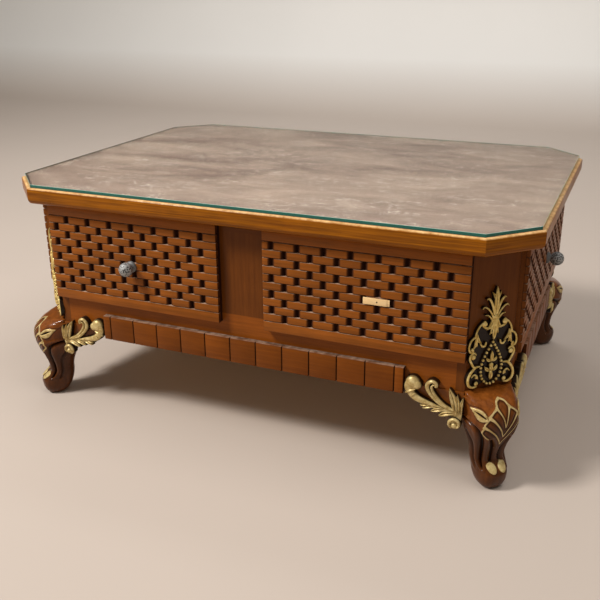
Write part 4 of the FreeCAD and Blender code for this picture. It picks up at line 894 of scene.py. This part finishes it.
def veined_board():
    """Marbled paint: soft clouds, thin broken veins and pale flecks, drawn out along X."""
    material, tree, shader = new_material("Marbled painted board")
    place = add_node(tree, "NewGeometry", {}, "Position")
    drawn = add_node(tree, "Mapping", {"Vector": place, "Scale": (1 / (200 * MM), 1 / (75 * MM), 1),
                                       "Rotation": (0, 0, 0.12)})
    cloud = add_node(tree, "TexNoise", {"Vector": drawn, "Scale": 1, "Detail": 6, "Roughness": 0.62,
                                        "Distortion": 0.8})
    tone = add_node(tree, "MapRange", {"Value": cloud, "From Min": 0.3, "From Max": 0.7})
    colour = add_node(tree, "Mix", {0: tone, 6: ink("#694f45"), 7: ink("#ad9584")}, **BLEND)
    for long_mm, wide_mm, half_line, strength, shift in VEINS:
        warp = add_node(tree, "Mapping", {"Vector": place, "Location": (shift, shift, 0),
                                          "Scale": (1 / (long_mm * MM), 1 / (wide_mm * MM), 1)})
        vein = add_node(tree, "TexNoise", {"Vector": warp, "Scale": 1, "Detail": 2, "Roughness": 0.5,
                                           "Distortion": 1.8})
        off = add_node(tree, "Math", {0: vein, 1: 0.5}, operation="SUBTRACT")
        gap = add_node(tree, "Math", {0: off}, operation="ABSOLUTE")
        line = add_node(tree, "MapRange", {"Value": gap, "From Min": 0, "From Max": half_line,
                                           "To Min": strength, "To Max": 0})
        fade = add_node(tree, "TexNoise", {"Vector": warp, "Scale": 0.7, "Detail": 1})
        shown = add_node(tree, "MapRange", {"Value": fade, "From Min": 0.52, "From Max": 0.66})
        broken = add_node(tree, "Math", {0: line, 1: shown}, operation="MULTIPLY")
        colour = add_node(tree, "Mix", {0: broken, 6: colour, 7: ink("#f2e4d4")}, **BLEND)
    feed(tree, shader, {"Base Color": colour, "Roughness": 0.4})
    return material


def moulding_profile():
    """Depth, height and share of wear and painted highlight of the moulding's outline, from the foot of
    its face round to there.
    """
    outline = [(0, HOLLOW_HEIGHT, 0.0), (0.3 * MM, HOLLOW_HEIGHT + 1.2 * MM, 0.1),
               (0, HOLLOW_HEIGHT + 2.4 * MM, 0), (0, MOULD_HEIGHT - MOULD_ROUND, 0.1)]
    for turn in (18, 36, 54, 72, 90):
        angle = math.radians(turn)
        outline.append((MOULD_ROUND * (1 - math.cos(angle)),
                        MOULD_HEIGHT - MOULD_ROUND * (1 - math.sin(angle)), math.sin(angle)))
    outline += [(PAINT_EDGE, MOULD_HEIGHT, 0.8), (MOULD_WIDTH, MOULD_HEIGHT, 0.5), (MOULD_WIDTH, 0, 0),
                (HOLLOW_DEPTH, 0, 0)]
    for turn in (18, 36, 54, 72):
        angle = math.radians(turn)
        outline.append((HOLLOW_DEPTH * (1 - math.sin(angle)), HOLLOW_HEIGHT * (1 - math.cos(angle)), 0))
    return outline


def moulding_shape(length):
    """A mitred length of moulding along X, its outer face on y = 0."""
    outline = moulding_profile()
    points = [(end * (length / 2 - depth * MITRE), depth, height)
              for end in (-1, 1) for depth, height, _ in outline]
    return points, ring_faces(len(points), len(outline)), {"wear_and_highlight": [worn for *_, worn in outline] * 2}


def comb_grained():
    """Scumble comb-grained over yellow ground: long amber streaks under a gloss film."""
    material, tree, shader = new_material("Comb-grained varnished softwood")
    colour, pore, cloud = wood_colour(tree, "X", "#a6620b", "#6e3a05", 3.5)
    wear_and_highlight = add_node(tree, "Attribute", {}, "Fac", attribute_name="wear_and_highlight")
    place = add_node(tree, "TexCoord", {}, "Object")
    chips = add_node(tree, "TexNoise", {"Vector": place, "Scale": 1 / (12 * MM), "Detail": 6,
                                        "Roughness": 0.7})
    # Pale along the upper edge: rubbed wear, broken by chips, and a painted highlight
    paler_towards_top = add_node(tree, "Math", {0: wear_and_highlight, 1: chips}, operation="MULTIPLY")
    share = add_node(tree, "MapRange", {"Value": paler_towards_top, "From Min": 0.2, "From Max": 0.62})
    feed(tree, shader, {
        "Base Color": add_node(tree, "Mix", {0: share, 6: colour, 7: ink("#f0c488")}, **BLEND),
        "Roughness": add_node(tree, "MapRange", {"Value": cloud, "From Min": 0.3, "From Max": 0.7,
                                                 "To Min": 0.26, "To Max": 0.4}),
        "Normal": add_node(tree, "Bump", {"Height": pore, "Strength": 0.2, "Distance": 0.3 * MM}),
        "Specular IOR Level": WOOD_SPECULAR, "Coat Weight": WOOD_COAT, "Coat Roughness": 0.12})
    return material


amber = comb_grained()
marbled = veined_board()


def add_moulding(name, length, place, node):
    """A mitred length, its top marbled where the glass covers it."""
    made = add_piece(name, moulding_shape(length), amber, place, replaced=[node], sharp=50)
    made.data.materials.append(marbled)
    for face in made.data.polygons:
        depths = [made.data.vertices[index].co.y for index in face.vertices]
        if face.normal.z > 0.99 and min(depths) > PAINT_EDGE - 0.1 * MM:
            face.material_index = 1


for side, spot, span in (("front", (0, -TOP_Y), TOP_X), ("right", (TOP_X, 0), TOP_Y),
                         ("back", (0, TOP_Y), TOP_X), ("left", (-TOP_X, 0), TOP_Y)):
    add_moulding("amber_moulding_" + side, 2 * (span - TOP_CUT), set_at((*spot, MOULD_FOOT), SIDES[side]),
                 "edge_moulding_" + side)
for corner in CORNERS:
    add_moulding("amber_moulding_" + corner, TOP_CUT * math.sqrt(2),
                 corner_frame(corner, TOP_X, TOP_Y, TOP_CUT, MOULD_FOOT), "edge_moulding_corners")


# Veined board
# The board under the glass: printed or painted in mauve-brown clouds with cream veins and flecks that
# run along the table, and a thin flat varnish. The paint runs on over the moulding up to the glass edge.
dress("top_panel", marbled)


# Glass sheet
# Float glass cut to an octagon, laid loose on the board, with a ground and polished arris. Clear through
# its faces, and deep teal through its edge, where the light has a long way to go.
ARRIS = 0.4 * MM
AIR_FILM = 0.2 * MM
OCTAGON_SHRINK = 2 - math.sqrt(2)
GLASS_IOR = 1.5
glass_low, glass_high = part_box("glass_top")
GLASS_INSET = TOP_X - glass_high.x


def octagon(inset, height):
    """The top's outline, moved in on all sides, at a height."""
    x, y = TOP_X - inset, TOP_Y - inset
    cut = TOP_CUT - inset * OCTAGON_SHRINK
    return [(x - cut, -y, height), (x, cut - y, height), (x, y - cut, height), (x - cut, y, height),
            (cut - x, y, height), (-x, y - cut, height), (-x, cut - y, height), (cut - x, -y, height)]


def glass_shape():
    """The sheet's loops from its underside to its face."""
    foot = glass_low.z + AIR_FILM
    loops = [(ARRIS, foot), (0.3 * ARRIS, foot + 0.3 * ARRIS), (0, foot + ARRIS),
             (0, glass_high.z - ARRIS), (0.3 * ARRIS, glass_high.z - 0.3 * ARRIS), (ARRIS, glass_high.z)]
    points = [spot for inset, height in loops for spot in octagon(GLASS_INSET + inset, height)]
    return points, ring_faces(len(points), len(points) // len(loops)), {}


def clear_glass():
    """Polished float glass that lets the lamps light what lies under it."""
    material, tree, shader = new_material("Clear float glass")
    feed(tree, shader, {"Base Color": ink("#fbfefd"), "Roughness": 0.015, "IOR": GLASS_IOR,
                        "Transmission Weight": 1})
    shadow = add_node(tree, "LightPath", {}, "Is Shadow Ray")
    clear = add_node(tree, "BsdfTransparent", {"Color": ink("#fdfffe")})
    shown = add_node(tree, "MixShader", {0: shadow, 1: shader.outputs[0], 2: clear})
    out = next(item for item in tree.nodes if item.type == "OUTPUT_MATERIAL")
    feed(tree, out, {"Surface": shown})
    return material


sheet = add_piece("glass_sheet", glass_shape(), clear_glass(), replaced=["glass_top"],
                  sharp=10)
# The edge of float glass, deep in colour and brighter in patches where light leaves it; its ground arris
# is pale
EDGE_FINISH = {"Roughness": 0.12, "IOR": GLASS_IOR, "Coat Weight": 0.4, "Coat Roughness": 0.03}
for name, deep, bright in (("Float glass edge", "#01423a", "#046457"),
                           ("Ground glass arris", "#6fb3a6", "#a9d8cd")):
    sheet.data.materials.append(mottled(name, deep, bright, 90, 3, EDGE_FINISH))
for face in sheet.data.polygons:
    steep = abs(face.normal.z)
    face.material_index = 0 if steep > 0.98 else 1 if steep < 0.2 or face.normal.z < 0 else 2


# Drawer boxes
# Planed pine sides and back, with a thin bottom board let into grooves; the woven front is screwed on.
for drawer, along, across in (("front_drawer", "Y", "X"), ("end_drawer", "X", "Y")):
    dress(drawer + "_left_side", pine[along])
    dress(drawer + "_right_side", pine[along])
    dress(drawer + "_back", pine[across])
    dress(drawer + "_bottom", pine[along])


# Ball knobs
# Cast pewter-coloured metal: a ball with a pitted skin on a round seat, screwed on from behind.
PIT_COUNT = 150
PIT_WIDTH = 0.095
PIT_DEPTH = 0.7 * MM
BALL_RINGS, BALL_SIDES = 84, 120
KNOB_NECK, SEAT_FACE = 6 * MM, 7.5 * MM
SEAT_SIDES, SEAT_TARNISH = 48, 0.55


def pitted_ball(radius, middle, neck):
    """A ball on a short neck along Y, its front half towards -Y, covered in shallow pits."""
    pits = draw.normal(size=(PIT_COUNT, 3))
    pits /= np.linalg.norm(pits, axis=1)[:, None]
    limit = math.pi - math.asin(neck / radius)
    tilts = limit * np.arange(1, BALL_RINGS + 1)[:, None] / BALL_RINGS
    spins = 2 * math.pi * np.arange(BALL_SIDES)[None, :] / BALL_SIDES
    ways = np.stack([np.sin(tilts) * np.cos(spins), -np.cos(tilts) + 0 * spins,
                     np.sin(tilts) * np.sin(spins)], axis=2).reshape(-1, 3)
    near = np.arccos(np.clip(np.max(ways @ pits.T, axis=1), -1, 1))
    pit = np.exp(-(near / PIT_WIDTH) ** 4)
    pit[-2 * BALL_SIDES:] = 0
    skin = ways * (radius - PIT_DEPTH * pit)[:, None] + (0, middle, 0)
    foot = skin[-BALL_SIDES:] * (1, 0, 1) + (0, middle + radius + 1 * MM, 0)
    points = np.vstack([skin, foot])
    return points, ring_faces(len(points), BALL_SIDES), {"pit": np.append(pit, np.zeros(BALL_SIDES))}


def knob_seat(radius, face, height):
    """A domed round seat, from the woven front at y = 0 towards -Y, with an even tarnish."""
    spins = np.linspace(0, 2 * math.pi, SEAT_SIDES, endpoint=False)
    outline = [(radius, 0), (radius, -0.25 * height), (0.96 * radius, -0.5 * height),
               (0.86 * radius, -0.76 * height), (0.74 * radius, -0.94 * height), (face, -height)]
    points = [(wide * math.cos(spin), depth, wide * math.sin(spin))
              for wide, depth in outline for spin in spins]
    return points, ring_faces(len(points), len(spins)), {"pit": [SEAT_TARNISH] * len(points)}


def pewter():
    """Dull cast metal: mid grey, darker in its pits, with a soft uneven gloss."""
    material, tree, shader = new_material("Pitted pewter-coloured casting")
    place = add_node(tree, "TexCoord", {}, "Object")
    skin = add_node(tree, "TexNoise", {"Vector": place, "Scale": 1 / (1.6 * MM), "Detail": 5})
    tone = add_node(tree, "Mix", {0: skin, 6: ink("#7c7c7b"), 7: ink("#b9b9b7")}, **BLEND)
    pit = add_node(tree, "Attribute", {}, "Fac", attribute_name="pit")
    feed(tree, shader, {
        "Base Color": add_node(tree, "Mix", {0: pit, 6: tone, 7: ink("#0d0c0b")}, **BLEND),
        "Roughness": add_node(tree, "MapRange", {"Value": skin, "To Min": 0.45, "To Max": 0.65}),
        "Normal": add_node(tree, "Bump", {"Height": skin, "Strength": 0.5, "Distance": 0.3 * MM}),
        "Metallic": 0.4})
    return material


pewter_grey = pewter()
for drawer, turn in (("front_drawer", 0), ("end_drawer", 90)):
    seat_low, seat_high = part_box(drawer + "_knob_base")
    ball_low, ball_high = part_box(drawer + "_knob")
    middle = (seat_low + seat_high) / 2
    if turn == 0:
        root = Vector((middle.x, seat_high.y, middle.z))
        reach, seat_height = seat_high.y - ball_low.y, seat_high.y - seat_low.y
    else:
        root = Vector((seat_low.x, middle.y, middle.z))
        reach, seat_height = ball_high.x - seat_low.x, seat_high.x - seat_low.x
    ball_radius = (ball_high.z - ball_low.z) / 2
    seat_radius = (seat_high.z - seat_low.z) / 2
    place = set_at(root, turn)
    add_piece("pewter_ball_" + drawer, pitted_ball(ball_radius, ball_radius - reach, KNOB_NECK),
              pewter_grey, place, drawer, [drawer + "_knob"])
    add_piece("pewter_seat_" + drawer, knob_seat(seat_radius, SEAT_FACE, seat_height), pewter_grey,
              place, drawer, [drawer + "_knob_base"])


# Studio
# A plain pale floor that turns up into a pale wall, soft lamps and the camera of the photograph.
def stage_mesh():
    """A floor that curves up into a wall behind the table, as one sheet."""
    width, front, back, bend, top = 9.0, -6.0, 3.2, 0.8, 5.0
    outline = [(front, 0.0), (back, 0.0)]
    outline += [(back + bend * math.sin(math.radians(turn)), bend * (1 - math.cos(math.radians(turn))))
                for turn in range(10, 91, 10)]
    outline.append((back + bend, top))
    points = [(side * width, y, z) for y, z in outline for side in (-1, 1)]
    faces = [(index, index + 1, index + 3, index + 2) for index in range(0, len(points) - 2, 2)]
    return points, faces


def pale_plaster():
    """Matt paint, warm on the floor, paler on the wall, and darker towards its top as painted shade."""
    material, tree, shader = new_material("Pale matt studio paint")
    place = add_node(tree, "TexCoord", {}, "Object")
    cloud = add_node(tree, "TexNoise", {"Vector": place, "Scale": 1.2, "Detail": 3})
    height = add_node(tree, "SeparateXYZ", {0: place}, "Z")
    tone = ink("#bcaea2")
    # Painted shade: the wall turns grey towards its top
    for foot, head, paint in ((0, 0.3, "#e0dcd6"), (0.75, 1.15, "#6b6560")):
        risen = add_node(tree, "MapRange", {"Value": height, "From Min": foot, "From Max": head})
        tone = add_node(tree, "Mix", {0: risen, 6: tone, 7: ink(paint)}, **BLEND)
    uneven = add_node(tree, "MapRange", {"Value": cloud, "To Min": 0.96, "To Max": 1.04})
    tone = add_node(tree, "Mix", {0: 1, 6: tone, 7: uneven}, **MULTIPLY)
    feed(tree, shader, {"Base Color": tone, "Roughness": 0.7})
    return material


stage_points, stage_faces = stage_mesh()
stage = bpy.data.meshes.new("studio_floor")
stage.from_pydata(stage_points, [], stage_faces)
stage.materials.append(pale_plaster())
stage.shade_smooth()
floor = bpy.data.objects.new("studio_floor", stage)
bpy.context.scene.collection.objects.link(floor)


def add_lamp(name, spot, aim, width, power, colour, mirrored):
    """A square soft lamp that looks at a point; the glass shows it only if it is mirrored."""
    lamp = bpy.data.lights.new(name, "AREA")
    lamp.size = width
    lamp.energy = power
    lamp.color = ink(colour)[:3]
    holder = bpy.data.objects.new(name, lamp)
    bpy.context.scene.collection.objects.link(holder)
    holder.location = spot
    holder.visible_glossy = holder.visible_transmission = mirrored
    holder.rotation_euler = (Vector(aim) - Vector(spot)).to_track_quat("-Z", "Y").to_euler()


TABLE_MIDDLE = (0, 0, 0.25)
add_lamp("key_lamp", (-2.0, -1.9, 3.1), TABLE_MIDDLE, 0.9, 155, "#fffdfa", True)
add_lamp("sky_lamp", (1.6, -0.4, 3.4), (1.6, -0.4, 0), 2.2, 58, "#ffffff", False)
add_lamp("wall_lamp", (-1, 1.6, 3.2), (-1, 4, 0.6), 2.0, 55, "#f8fbff", False)

world = bpy.data.worlds.new("studio_air")
world.use_nodes = True
backdrop = next(item for item in world.node_tree.nodes if item.type == "BACKGROUND")
backdrop.inputs["Color"].default_value = ink("#fff7ec")
backdrop.inputs["Strength"].default_value = 0.27
bpy.context.scene.world = world

CAMERA_SPOT = (0.6219, -1.5354, 0.8067)
CAMERA_TURN, CAMERA_TILT, CAMERA_ROLL = 22.994, 21.532, -0.338
FOCAL_PIXELS, FRAME_PIXELS = 822.15, 600
camera_data = bpy.data.cameras.new("photo_camera")
camera_data.sensor_width = 36
camera_data.lens = camera_data.sensor_width * FOCAL_PIXELS / FRAME_PIXELS
camera = bpy.data.objects.new("photo_camera", camera_data)
bpy.context.scene.collection.objects.link(camera)
camera.matrix_world = (Matrix.Translation(CAMERA_SPOT)
                       @ Matrix.Rotation(math.radians(CAMERA_TURN), 4, "Z")
                       @ Matrix.Rotation(math.radians(90 - CAMERA_TILT), 4, "X")
                       @ Matrix.Rotation(math.radians(CAMERA_ROLL), 4, "Z"))
bpy.context.scene.camera = camera
bpy.context.scene.view_settings.view_transform = "Standard"
